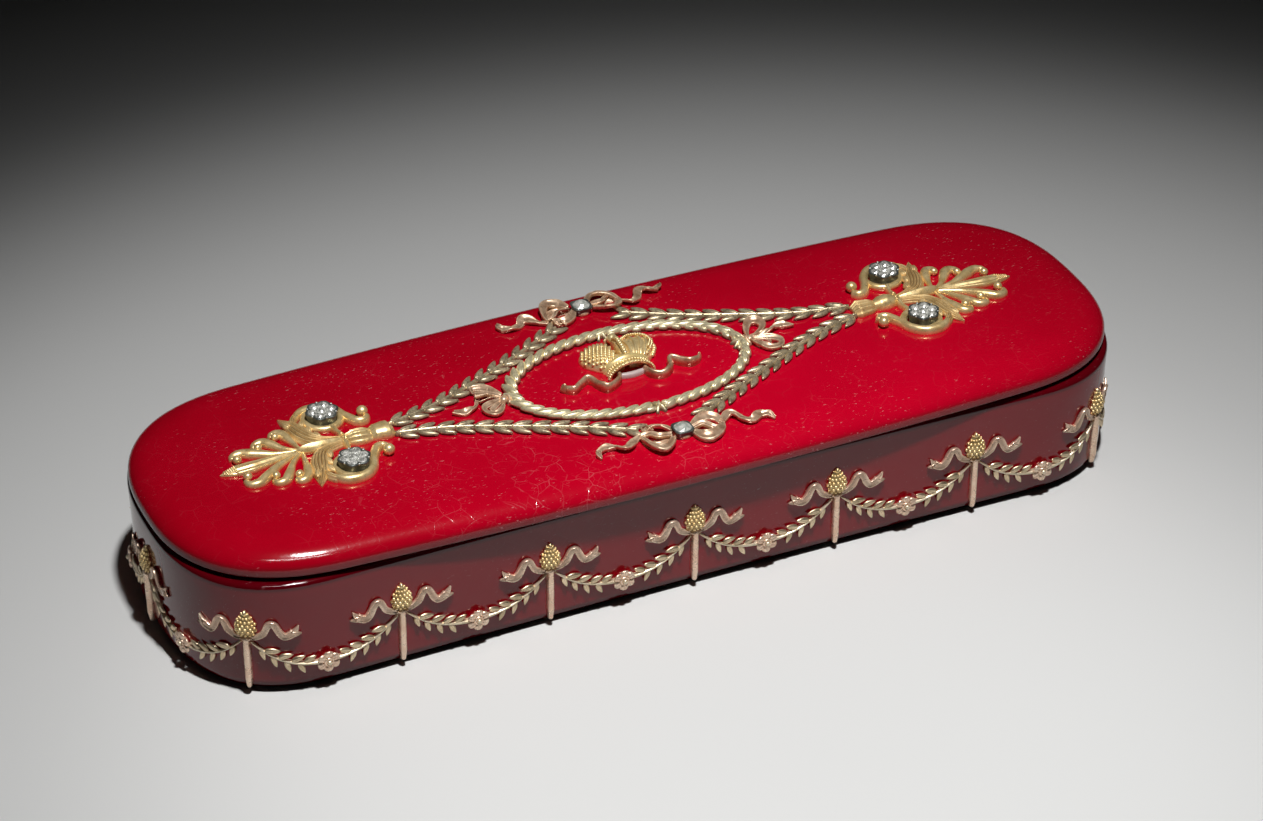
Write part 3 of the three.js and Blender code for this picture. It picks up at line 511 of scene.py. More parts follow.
def metal(name, look):
    # Cast and chased metal: tone drift, speckled dirt, dirt and painted shade in the hollows, painted shade
    # at the foot of the relief for some, fine tool marks.
    paint = Finish(name, Metallic=look["metallic"])
    colour = paint.blend(paint.speckle(*look["toneSpeckle"]), look["dark"], look["bright"])
    dirtAndShade = paint.speckle(1300, 4, look["dirtLow"], look["dirtLow"] + 0.14, roughness=0.65)
    # darker in the hollows, found by Pointiness: dirt and painted shade
    edges = paint.node("ShaderNodeNewGeometry").outputs["Pointiness"]
    hollow = paint.remap(edges, *look["hollowAt"], look["hollow"], 0)
    dirtAndShade = paint.most(paint.times(dirtAndShade, look["dirtShare"]), hollow)
    # painted shade at the foot of the relief, where the leaves meet the lid
    if "reliefFootShadeAt" in look:
        dirtAndShade = paint.most(dirtAndShade, paint.remap(paint.level(), *look["reliefFootShadeAt"], 0.8, 0))
    rough = paint.speckle(*look["roughSpeckle"], look["smooth"], look["rough"])
    marks = paint.noise(*look["markNoise"])
    paint.fill(paint.inputs, {"Base Color": paint.blend(dirtAndShade, colour, look["dirtAndShade"]), "Roughness": rough,
            "Normal": paint.bump(marks, look["marks"], 0.0001)})


# the dark mixing tone serves dirt and painted shade alike; hollow and hollowAt set the shade in the hollows
goldLook = {
    "metallic": 0.5, "markNoise": (3200, 3, 0.6), "marks": 0.2, "smooth": 0.25, "rough": 0.42,
    "dirtLow": 0.57, "dirtShare": 0.4, "dirtAndShade": (0.11, 0.055, 0.024), "hollow": 0.9,
    "toneSpeckle": (420, 3, 0.32, 0.68), "roughSpeckle": (700, 3, 0.3, 0.7),
    "hollowAt": (0.44, 0.49),
}
# the darker and the brighter tone of each metal, and where else it differs from goldLook;
# for the green golds, the heights in metres between which the painted shade at the foot of the relief fades
metalLooks = {
    "yellowGold": ((0.78, 0.54, 0.22), (0.97, 0.76, 0.4), {}),
    "dullGold": ((0.62, 0.42, 0.17), (0.84, 0.62, 0.31), {"smooth": 0.45, "rough": 0.6, "dirtLow": 0.54}),
    "leafGold": ((0.54, 0.42, 0.26), (0.86, 0.7, 0.48),
        {"metallic": 0.85, "smooth": 0.26, "rough": 0.4, "dirtAndShade": (0.1, 0.07, 0.055)}),
    "coneGold": ((0.78, 0.56, 0.26), (0.96, 0.78, 0.44), {"metallic": 0.85, "smooth": 0.26, "rough": 0.4}),
    "crownGold": ((0.74, 0.54, 0.24), (0.98, 0.79, 0.43), {"hollow": 0.92, "dirtAndShade": (0.1, 0.05, 0.02)}),
    "circletGold": ((0.9, 0.66, 0.27), (1, 0.84, 0.41), {"metallic": 0.3, "rough": 0.34, "dirtShare": 0.2}),
    "greenGold": ((0.4, 0.32, 0.19), (0.78, 0.64, 0.42),
        {"reliefFootShadeAt": (0.03445, 0.035), "dirtShare": 0.6, "dirtLow": 0.49, "dirtAndShade": (0.1, 0.07, 0.055)}),
    "paleGreenGold": ((0.68, 0.58, 0.35), (1, 0.9, 0.6), {"reliefFootShadeAt": (0.0347, 0.0354), "dirtShare": 0.55,
            "dirtLow": 0.54, "smooth": 0.3, "dirtAndShade": (0.14, 0.1, 0.06)}),
    "roseGold": ((0.84, 0.58, 0.42), (0.98, 0.77, 0.59),
        {"metallic": 0.6, "smooth": 0.22, "rough": 0.36, "dirtShare": 0.15, "marks": 0.08}),
    "agedRose": ((0.58, 0.35, 0.21), (0.98, 0.73, 0.5),
        {"metallic": 0.38, "dirtLow": 0.5, "dirtAndShade": (0.12, 0.05, 0.03)}),
    "bronze": ((0.44, 0.25, 0.14), (0.9, 0.62, 0.41), {"smooth": 0.26, "rough": 0.4}),
    "paleGold": ((0.74, 0.6, 0.4), (0.94, 0.82, 0.62), {}),
    # the cone's core: darker gold as painted shade between the scales
    "coneShadeCore": ((0.44, 0.32, 0.15), (0.6, 0.46, 0.24), {}),
    "oldSilver": ((0.06, 0.07, 0.065), (0.2, 0.22, 0.2),
        {"smooth": 0.3, "rough": 0.45, "dirtLow": 0.45, "dirtAndShade": (0.02, 0.02, 0.02)}),
    "paleSilver": ((0.34, 0.35, 0.32), (0.66, 0.66, 0.6), {}),
}
for name, (dark, bright, changes) in metalLooks.items():
    metal(name, {**goldLook, "dark": dark, "bright": bright, **changes})


def gem(name, dark, scale):
    # Cut stone: hard reflections, over a base colour in patches from dark to nearly white that paints
    # glints into the stone.
    paint = Finish(name, Roughness=0.18, IOR=2.4, Metallic=0.2)
    tone = paint.speckle(scale, 2, 0.38, 0.62)
    paint.fill(paint.inputs, {"Base Color": paint.blend(tone, dark, (0.98, 0.96, 0.88))})


gem("roseCutStone", (0.3, 0.3, 0.27), 1900)
gem("singleStone", (0.5, 0.54, 0.48), 900)
Finish("paleEnamel", **{"Roughness": 0.3, "Base Color": (0.62, 0.52, 0.5)})
print("finishes made")


# the lacquered body and lid

def hoop(rings):
    # Rings that close on themselves both ways, such as a sleeve.
    rows, around = rings.shape[:2]
    i, k = np.arange(rows)[:, None], np.arange(around)[None]
    n, j = (k + 1) % around, (i + 1) % rows
    quads = np.stack([i * around + k, i * around + n, j * around + n, j * around + k], -1).reshape(-1, 4)
    points = rings.reshape(-1, 3)
    a, b, c, d = (points[quads[:, x]] for x in range(4))
    volume = np.sum(a * np.cross(b, c)) + np.sum(a * np.cross(c, d))
    return points, quads if volume > 0 else quads[:, ::-1], np.zeros((0, 3), int)


def quarter(radius, turn):
    # A quarter round from (radius, 0) to (0, radius), hollow towards the origin.
    return [(radius * (1 - math.sin(a)), radius * (1 - math.cos(a))) for a in turn]


def makeBody():
    # The profile of the wall: round foot, leaning wall, round rim, inner wall, floor.
    r, rim, high = box["footRadius"], box["rimRadius"], box["bodyHeight"]
    lean = lambda z: box["bodyTaper"] * (1 - z / high)
    turn = np.linspace(0, math.pi / 2, 13)
    foot = [(x + lean(z), z) for x, z in quarter(r, turn)]
    wall = [(lean(z), z) for z in np.linspace(r, high - rim, 8)[1:-1]]
    edge = [(rim * (1 - math.cos(a)), high - rim + rim * math.sin(a)) for a in turn]
    inner = box["wall"]
    lip = [(inner - 0.4 + 0.4 * math.sin(a), high - 0.4 + 0.4 * math.cos(a)) for a in turn[::3]]
    cove = [(inner + x, box["floor"] + z) for z, x in quarter(1.2, turn[::2])]
    profile = [(foot[0][0] + 8, 0), (foot[0][0] + 0.4, 0), *foot, *wall, *edge, *lip,
        (inner, box["floor"] + 12), *cove, (inner + 9, box["floor"])]
    rings = stacked(planLoop(bodyPlan, 720)[0], profile)
    shell = skin(rings, (0, 0, 0), (0, 0, box["floor"]))
    makePiece("boxBody", [("wallLacquer", shell)], "box", ["box_body"])
    near = inner + box["seat"]
    far = near + box["sleeveWall"]
    low, top = box["floor"] + box["seat"], high + box["sleeveRise"]
    profile = [(near, low), (near, 15), (near, top - 0.5), (near + 0.15, top - 0.15), (near + 0.5, top),
        (far - 0.5, top), (far - 0.15, top - 0.15), (far, top - 0.5), (far, 15), (far, low)]
    sleeve = hoop(stacked(planLoop(bodyPlan, 480)[0], profile))
    makePiece("innerSleeve", [("innerLacquer", sleeve)], "box", ["inner_sleeve"])


def makeLid():
    # From the recess round the edge and over the rolled top to the flat.
    loop = planLoop(lidPlan, 900)[0]
    recess = planLoop(bodyPlan, 900)[0]
    inset = box["wall"] + box["seat"] - box["sleeveGap"]
    roof = box["bodyHeight"] + box["sleeveRise"] + box["seat"]
    inside = stacked(recess, [(inset + 9, roof), (inset + 0.3, roof), (inset, roof - 0.3),
            (inset, lidBottom + 0.3), (inset - 0.3, lidBottom)])
    turn = np.linspace(0, math.pi / 2, 19)
    edge = box["lidEdge"]
    lower = [(x, lidBottom + z) for x, z in quarter(edge, turn[::3])]
    roll = [(box["lidRollWidth"] * (1 - math.cos(a)), lidRollStart + box["lidRollHeight"] * math.sin(a))
        for a in turn]
    outside = stacked(loop,
        [(edge + 0.5, lidBottom), *lower, *roll, (roll[-1][0] + 0.8, lidTop), (roll[-1][0] + 8, lidTop)])
    rings = np.concatenate([inside, outside])
    shell = skin(rings, (0, 0, roof), (0, 0, lidTop))
    makePiece("lidShell", [("lidLacquer", shell)], "lid", ["lid_shell"])


makeBody()
makeLid()
print("lacquer made")


# mounts on the wall

thyrsus = {
    "foot": 1.9, "top": 14.9, "coneFoot": 14.4, "coneHeight": 6.9, "coneWidth": 4.5,
    "coneDepth": 1.7, "scaleRows": 8, "scaleColumns": 6,
    "ribbon": [(1, 14.7), (2.3, 14.9), (3.7, 15.9), (4.7, 17.9), (5.9, 18), (7, 15.8), (8, 14.8),
        (9.2, 15.2), (9.9, 15.8)],
    "prongs": [[(9.3, 15.3), (10.2, 16.1), (10.9, 17.3)], [(9.3, 15.2), (10.4, 15.3), (11.5, 15.3)]],
}


def makeCone():
    # A pine cone in half relief: radius = sin(pi * v ** 0.74) ** 0.85 up the core, with small
    # rounded scales in staggered rows on it.
    t = thyrsus
    foot, high, wide, deep = t["coneFoot"], t["coneHeight"], t["coneWidth"], t["coneDepth"]
    girth = lambda v: np.sin(math.pi * v ** 0.74) ** 0.85
    v = np.linspace(0, 1, 30)[1:-1][:, None]
    turn = (tau * np.arange(36) / 36)[None]
    core = np.stack(np.broadcast_arrays(
        0.46 * wide * girth(v) * np.cos(turn), foot + high * v,
        np.maximum(0.9 * deep * girth(v) * np.sin(turn), -0.05)), -1)
    row, step = np.meshgrid(np.arange(t["scaleRows"]), np.arange(t["scaleColumns"]), indexing="ij")
    level = ((row + 0.5) / t["scaleRows"]).ravel() * 0.93
    angle = (math.pi * (step + 0.25 + 0.5 * (row % 2)) / t["scaleColumns"]).ravel()
    reach = girth(level)
    scales = np.stack(
        [0.47 * wide * reach * np.cos(angle), foot + high * level, 0.92 * deep * reach * np.sin(angle)], -1)
    # the core shows only between the scales; its darker gold is painted shade there
    return [("coneShadeCore", skin(core, (0, foot, 0.1), (0, foot + high, 0.15))),
        ("coneGold", beads(scales, 0.12 + 0.28 * reach, 1, 5, 8)),
        ("coneGold", leaves((0, foot + high - 1.3, 0), math.pi / 2, 1.3, 1.2, 0.9, rows=6, fold=0))]


def sided(line, side):
    # The line, or its mirror image in x.
    return [(side * p[0], *p[1:]) for p in line]


def makeThyrsi():
    # A staff with a tie, a cone on top, and a ribbon whose forked ends wave to both sides.
    t = thyrsus
    staff = carry([(0.05, t["foot"]), (0, t["foot"] + 0.35), (0, 8), (0, t["top"])],
        [0.55, 0.8, 0.78, 0.8, 0.78, 0.75], [0.9, 1.35, 1.3, 1.35, 1.3, 1.3], archProfile(11, 0.9),
        count=26)
    tie = carry([(-1.25, 14.55), (0, 14.3), (1.25, 14.55)], [0.3, 0.45, 0.3], [1, 1.4, 1],
        archProfile(9, 0.8), count=12)
    parts = [("roseGold", staff), ("roseGold", tie)] + makeCone()
    for side in (1, -1):
        parts.append(("roseGold", carry(sided(t["ribbon"], side), [0.5, 0.7, 0.75, 0.8, 0.84], 0.6,
                bandProfile(0.25, 1.1), [0.12, 0, 0.15, 0.25, 0.1, 0, 0.12],
                [0.05, -0.15 * side, 0.15 * side, 0.12, -0.12 * side], 34)))
        for prong in t["prongs"]:
            parts.append(("roseGold", carry(sided(prong, side), [0.76, 0.56, 0.08], [0.55, 0.5, 0.3],
                    bandProfile(0.15, 1.1), [0.1, 0.15, 0.2], 0, 8)))
    for bay in range(bayCount):
        makePiece(f"thyrsus{bay + 1:02d}", parts, "box", [f"thyrsus_{bay + 1:02d}"],
            lambda points: onWall(points, bay))


festoon = {
    "top": 13.6, "drop": 6.6, "half": 15.7, "power": 2.5,
    # leaves by their distance from the flower, length, width and angle above or below the stem
    "upper": [(13.2, 3.6, 1.65, 0.66), (10.5, 3.5, 1.65, 0.74), (7.8, 3.4, 1.65, 0.74),
        (5.2, 3.2, 1.6, 0.7)],
    "lower": [(13.9, 3, 1.25, -0.55), (11.6, 3.1, 1.3, -0.68), (8.9, 3.1, 1.3, -0.84),
        (6.2, 3, 1.3, -0.88)],
}


def stemLevel(distance):
    # height = top - drop * (1 - (distance / half) ** power)
    f = festoon
    return f["top"] - f["drop"] * (1 - (np.abs(distance) / f["half"]) ** f["power"])


def makeFestoons():
    # A flower between two bays, with a stem and two rows of leaves to each side of it.
    f = festoon
    middle = stemLevel(0)
    petal = tau * np.arange(6) / 6 + 0.5
    flower = leaves(atLevel(ringOf(petal, 0.75, middle), 0.65), petal, 1.85, 2.3, 0.8, rise=0.4, rows=7,
        fold=0.35, blunt=0.45)
    cup = carry(ringOf(np.linspace(0, tau, 13), 0.85, middle), 0.3, 0.45, archProfile(7), 1.15, 0, 25)
    seat = beads([(0, middle, 0.6)], 1.3, 0.7, 7, 18)
    eye = beads([(0, middle, 1.6)], 0.55, 0.9, 7, 14)
    parts = [("roseGold", flower), ("roseGold", seat), ("roseGold", cup), ("paleGold", eye)]
    for side in (1, -1):
        distance = np.linspace(f["half"], 1.6, 9)
        line = np.stack([side * distance, stemLevel(distance)], -1)
        parts.append(("paleGold",
            carry(line, [0.26, 0.3, 0.36, 0.5], [0.7, 0.8, 0.9, 1.1], archProfile(9), 0, 0, 40)))
        for group, share in (("upper", 1), ("lower", 0.8)):
            x, length, width, turn = np.array(f[group]).T
            angle = np.arctan2(stemLevel(x - 0.5) - stemLevel(x), 0.5) + turn
            angle = np.where(side > 0, math.pi - angle, angle)
            base = np.stack([side * x, stemLevel(x)], -1)
            parts.append(("leafGold", leaves(atLevel(base, 0.25), angle, length, width, 0.55 * share,
                    rise=0.3, fold=0.35, blunt=0.8)))
    for bay in range(bayCount):
        makePiece(f"festoon{bay + 1:02d}", parts, "box", [f"festoon_{bay + 1:02d}"],
            lambda points: onWall(points, bay + 0.5))


makeThyrsi()
makeFestoons()
print("wall mounts made")


# mounts on the lid

anthemion = {
    # places are (|x|, |y|) from the middle of the lid
    "lobe": [(75.4, 0), (80, 0), (84, 0), (88, 0), (89.9, 0)],
    "tip": [(89.3, 0), (90.6, 0), (92, 0), (93.3, 0)],
    "hooks": [
        ([(75.4, 0.3), (80.3, 1.8), (84.4, 4.2), (86.8, 5.5), (88.7, 5.2), (89.2, 3.9)], 1.05, (88.4, 3.1)),
        ([(75.3, 0.5), (77.8, 2.5), (79.8, 5.3), (81.4, 7.1), (83.2, 7), (83.7, 5.9)], 1, (82.9, 5.3)),
        ([(74.9, 0.6), (75.3, 3), (75.9, 5.8), (77, 8.2), (78.6, 8.6), (79.2, 7.6)], 1, (78.3, 7.1))],
    # side points of the big leaf: place and direction in degrees
    "teeth": [(69.9, 2.4, 84), (71.3, 4.9, 100), (72, 7.7, 106), (74.2, 8.4, 66)],
    "spray": [(65.8, 0.7), (69.2, 1.5), (71.5, 2.9), (72.9, 5.6), (73.9, 9.3), (75.4, 13.4)],
    "branch": [(73.2, 8.6), (72.9, 10.9), (71.4, 12.7), (69.4, 13.6)],
    "scroll": [(72.6, 10.6), (71.2, 12.9), (68.6, 14), (65.3, 13.6), (63.1, 11.5), (62.2, 9), (61.2, 7),
        (60.2, 5.6), (58.8, 5.3), (57.8, 6.4)],
    "ball": (58.3, 7.9, 1.3),
    "clusterAt": (66.7, 9.5),
}


def flutedProfile(points, flutes, depth):
    # up = sqrt(1 - s ** 2) * (1 - depth * (1 - cos(flutes * pi * (s + 1))) / 2).
    s = np.linspace(-1, 1, points)
    up = np.sqrt(np.clip(1 - s ** 2, 0, 1)) * (1 - depth * (0.5 - 0.5 * np.cos(flutes * math.pi * (s + 1))))
    return closedBelow(s, up, -0.15)


def ridgedProfile(points):
    # A middle ridge with a rim on each side: (0.86 + 0.14 cos(2 pi s)) * (1 - s ** 8).
    s = np.linspace(-1, 1, points)
    up = (0.86 + 0.14 * np.cos(tau * s)) * (1 - s ** 8)
    return closedBelow(s, up, -0.1)


endShift = 1.4


def endSide(points, turnX):
    # The fittings of the right end sit further back on the lid than the left ones, by endShift
    # in full from x = 54, and both palmettes bend a little to the front.
    points = np.array(points, float)
    if turnX > 0:
        points[:, 1] += endShift * np.clip((points[:, 0] - 22) / 32, 0, 1)
    points[:, 1] -= 1.1 * np.clip((points[:, 0] - 76) / 10, 0, 1)
    return points


def makeAnthemions():
    # A palmette: lobe and tip outwards, a leaf with side points, hooks and scrolls on both sides,
    # and the calyx and collar that tie it to the garlands.
    a = anthemion
    arch = archProfile(15, 0.75)
    lobe = carry(a["lobe"], [0.4, 0.85, 1.35, 1.75, 1.65], [1.1, 1.2, 1.35, 1.4, 1.2], ridgedProfile(25))
    point = carry(a["tip"], [1.6, 1.35, 0.85, 0.1], [1, 1, 0.8, 0.4], arch, count=16)
    rows = np.linspace(89.9, 92.3, 6)
    studs = [(x, d * (93.6 - x) / 3.4, 0.95 - 0.1 * abs(d) - 0.13 * (x - 89.9)) for x in rows
        for d in (-0.9, -0.3, 0.3, 0.9)]
    blade = leaves((76.2, 0), math.pi, 11.2, 3, 1.9, rise=0.7, rows=22, fold=-0.15, blunt=0.8)
    calyx = carry([(65.8, 0), (63.5, 0), (61.5, 0), (59.9, 0), (59.3, 0)], [0.9, 1.7, 2.2, 2.4, 2.3, 1.9],
        [1.6, 2.1, 2.5, 2.5, 2.3, 1.6], flutedProfile(41, 5, 0.22), count=30)
    collar = carry([(59.6, 0), (59.2, 0), (57, 0), (55.2, 0), (54.8, 0), (54.5, 0)],
        [1.9, 2.3, 2.35, 2.6, 2.6, 1.9], [1.6, 2.3, 2.4, 2.5, 2.4, 1.2], archProfile(21, 0.7), count=30)
    knot = carry([(65.4, -1.5), (65.1, 0), (65.4, 1.5)], [0.45], [1.1, 2.1, 1.1], arch, count=16)
    grains = beads(studs, 0.27, 1, 5, 8)
    parts = [("yellowGold", p) for p in (lobe, point, grains, calyx, collar, knot, blade)]
    ballX, ballY, ballZ = a["ball"]
    clusterX, clusterY = a["clusterAt"]
    for side in (1, -1):
        mirror = lambda line, near=1: [(x, side * y * near) for x, y in line]
        # the hooks on the front side reach a little further out
        near = 1 if side > 0 else 1.12
        for line, size, (x, y) in a["hooks"]:
            parts += [("yellowGold", carry(mirror(line, near),
                    np.array([0.4, 0.55, 0.75, 1.05, 1.2, 1, 0.6]) * size,
                    np.array([0.9, 1, 1.1, 1.4, 1.5, 1.3, 0.9]) * size, arch, count=46)),
                ("yellowGold", beads([(x, side * y * near, 0.85)], 0.95 * size, 1, 9, 16))]
        parts += [
            ("dullGold", carry(mirror(a["spray"]), [0.7, 1.2, 2, 2.3, 1.6, 0.1],
                    [1.4, 1.6, 1.9, 1.9, 1.5, 0.5], flutedProfile(49, 6, 0.25), 0,
                    [0, 0.2 * side, 0.3 * side, 0.2 * side, 0], 60)),
            ("dullGold", leaves([(x, side * y, 0.5) for x, y, _ in a["teeth"]],
                    np.array([side * math.radians(turn) for _, _, turn in a["teeth"]]), 2.9, 1.9, 1,
                    rise=0.25, rows=8, fold=0.4)),
            ("dullGold", carry(mirror(a["branch"]), [0.3, 0.9, 0.9, 0.2], [1.2, 1.6, 1.5, 1],
                    flutedProfile(33, 4, 0.2), count=24)),
            ("yellowGold", carry(mirror(a["scroll"]), [0.2, 0.8, 1.15, 1.15, 1, 0.95, 1, 1.1, 1, 0.8],
                    [1.2, 1.6, 1.7, 1.7, 1.7, 1.7, 1.7, 1.7, 1.8, 1.6], arch, count=80)),
            ("yellowGold", beads([(ballX, side * ballY, ballZ)], 1.25, 1, 9, 18)),
            ("yellowGold", turned(
                    [(3, -0.1), (3.2, 0.9), (3.5, 1.25), (4, 1.4), (4.5, 1.2), (4.75, 0.7), (4.7, -0.1)],
                    48, (clusterX, side * clusterY))),
            ("yellowGold", carry([(65.4, side * 1.2), (65.5, side * 3), (66, side * 5.6)], [0.8, 0.5, 0.8],
                    [1.9, 1.4, 1.6], arch, count=18))]
    # the left end has a fluted bud and a plain collar, the right end the other way round
    plain = [("yellowGold", carry([(66, 0), (65, 0), (62.5, 0), (60.4, 0), (59.6, 0)],
            [0.8, 1.7, 2.1, 2, 1.2], [1.6, 2.1, 2.5, 2.3, 1.6], archProfile(21, 0.8), count=30)),
        ("dullGold", carry([(60, 0), (59.2, 0), (57, 0), (55.2, 0), (54.5, 0)], [1.5, 2.2, 2.4, 2.7, 1.9],
                [1.6, 2.3, 2.4, 2.5, 1.2], flutedProfile(41, 5, 0.25), count=30))]
    makePiece("anthemionLeft", parts, "lid", ["anthemion_left"],
        lambda points: onLid(endSide(points, -1), -1, 1))
    makePiece("anthemionRight", parts[:3] + plain + parts[5:], "lid", ["anthemion_right"],
        lambda points: onLid(endSide(points, 1), 1, 1))


# back or front, right or left, and the turns of x and y for each corner of the lid
corners = [(row, end, turnX, turnY) for end, turnX in (("Right", 1), ("Left", -1))
    for row, turnY in (("Back", 1), ("Front", -1))]

cluster = {"stone": 1.08, "ring": 2.1, "dome": 0.62}


def roseCut(centres, radius, height, level):
    # A rose-cut stone: twelve-sided foot, a row of facets up to a hexagon, and a point on top.
    centres = np.atleast_2d(np.asarray(centres, float))
    turn = tau * np.arange(12) / 12
    rows = [(1, -0.35), (1, 0.05), (0.62, 0.62), (0.18, 0.97)]
    shape = np.stack([np.stack([centres[:, 0, None] + radius * r * np.cos(turn + 0.26 * i),
        centres[:, 1, None] + radius * r * np.sin(turn + 0.26 * i),
        np.full((len(centres), 12), level + height * z)], -1) for i, (r, z) in enumerate(rows)], 1)
    return ringed(shape)


def makeClusters():
    # Seven rose-cut stones, one in the middle and six round it, in a scalloped silver setting.
    c = cluster
    six = tau * np.arange(6) / 6
    petals = np.vstack([[(0, 0)], ringOf(six, c["ring"])])
    scallop = lambda angle, step: 1 + 0.07 * np.cos(6 * angle) * np.ones_like(step)
    collet = turned([(3.1, -0.05), (3.15, 0.3), (3.2, 1.6), (3.4, 2.5), (3.45, 2.8), (3.3, 2.95),
        (3.05, 2.9), (2.8, 2.75), (0.4, 2.7)], 96, (0, 0), scallop)
    # an outer and an inner ring of prongs between the stones
    prongs = [atLevel(ringOf(six + tau / 12, radius), level) for radius, level in ((3.1, 2.8), (1.22, 2.9))]
    grains = beads(np.vstack(prongs), [0.3] * 6 + [0.24] * 6, 1, 5, 9)
    jewels = roseCut(petals, c["stone"], c["dome"], 2.85)
    x, y = anthemion["clusterAt"]
    for row, end, turnX, turnY in corners:
        suffix = f"{row.lower()}_{end.lower()}"
        # at the right end both stand a little further out and back, as endSide has it
        spot = (turnX * (x + 0.5 * (turnX > 0)), turnY * y + endShift * (turnX > 0))
        place = lambda points: onLid(points, turnX, turnY, spot)
        makePiece(f"collet{row}{end}", [("oldSilver", collet), ("paleSilver", grains)], "lid",
            [f"collet_{suffix}"], place)
        makePiece(f"stones{row}{end}", [("roseCutStone", jewels)], "lid", [f"stones_{suffix}"],
            place, False)


garland = {
    "line": [(54.6, 1.9), (47, 3.6), (40, 5.9), (30, 10.4), (20, 15.2), (7.6, 22)],
    "pitch": 3.75, "leaf": (4.9, 1.75, 0.95), "spreadOut": 0.48,
}


def makeGarlands():
    # A stem with a leaf to each side at every step, and a berry between them.
    g = garland
    fine = along(g["line"], 400)
    run = lengths(fine)
    at = np.linspace(0.6, run[-1] - 2.6, int(run[-1] / g["pitch"]))
    spot, ahead, heading = headings(fine, run, at, 0.5)
    length, width, height = g["leaf"]
    stem = carry(g["line"], [0.55, 0.5, 0.5], [1.2, 1.15, 1.15], archProfile(9, 0.9), count=70)
    parts = [("greenGold", stem)]
    for side in (1, -1):
        aside = np.stack([-np.sin(heading), np.cos(heading)], -1) * 0.25 * side
        parts.append(("greenGold", leaves(atLevel(spot + aside, 0.15), heading + side * g["spreadOut"],
                length, width, height, rise=0.3, curl=-0.25 * side, rows=9)))
    berries = atLevel(spot + 0.35 * (ahead - spot), 1)
    parts.append(("greenGold", beads(berries, 0.34, 0.8, 5, 9)))
    for row, end, turnX, turnY in corners:
        makePiece(f"garland{row}{end}", parts, "lid",
            [f"garland_{row.lower()}_{end.lower()}"],
            lambda points: onLid(endSide(points * (1, turnY, 1), turnX), turnX, 1))


wreath = {"half": (26.6, 15.5), "pitch": 3, "leaf": (5.8, 2.4, 1.5)}


def makeWreath():
    # A rope of leaves along an ellipse, x = a sin(turn) and y = -b cos(turn), from the front tie
    # round both sides to the back tie: large leaves slant out, and a row of small ones crosses.
    w = wreath
    turn = np.linspace(0, tau, 1441)
    ring = np.stack([w["half"][0] * np.sin(turn), -w["half"][1] * np.cos(turn)], -1)
    run = lengths(ring)
    half = run[-1] / 2
    core = carry(ring[::12], 1, 0.75, archProfile(9, 0.9), count=160)
    parts = [("greenGold", core)]
    length, width, height = w["leaf"]
    for branch in (1, -1):
        at = np.linspace(0.9, half - 3.6, int(half / w["pitch"]))
        at = at if branch > 0 else run[-1] - at
        spot, ahead, heading = headings(ring, run, at, 0.4 * branch)
        for slant, offset, size, rise in ((0.5, -1.2, 1, 0.6), (-0.42, 1.05, 0.68, 0.1)):
            aside = np.stack([-np.sin(heading), np.cos(heading)], -1) * offset
            parts.append(("paleGreenGold", leaves(atLevel(spot + aside, 0.25), heading + slant,
                    length * size, width * size, height * size, rise=rise, curl=-0.7 * np.sign(slant),
                    rows=11, fold=0.3, blunt=0.7)))
    for angle in (0, math.pi / 2, math.pi, 1.5 * math.pi):
        x, y = w["half"][0] * math.sin(angle), -w["half"][1] * math.cos(angle)
        out = np.array([x, y]) / math.hypot(x, y)
        side = np.array([-out[1], out[0]])
        for slant in (0.55, -0.55):
            ends = [np.array([x, y]) + out * r + side * slant * r for r in (-1.9, -1, 0, 1, 1.9)]
            parts.append(("paleGreenGold",
                carry(ends, 0.38, [0.5, 1.45, 1.75, 1.45, 0.5], archProfile(7, 0.8), count=18)))
    makePiece("laurelWreath", parts, "lid", ["laurel_wreath"], onLid)


ribbonSection = bandProfile(0.25, 0.9)


def strands(lines):
    # Ribbons of one bow: each entry holds the line, half width, lift, tilt and height.
    return [("agedRose", carry(line, width, height, ribbonSection, lift, tilt, 14 + 6 * len(line)))
        for line, width, lift, tilt, height in lines]


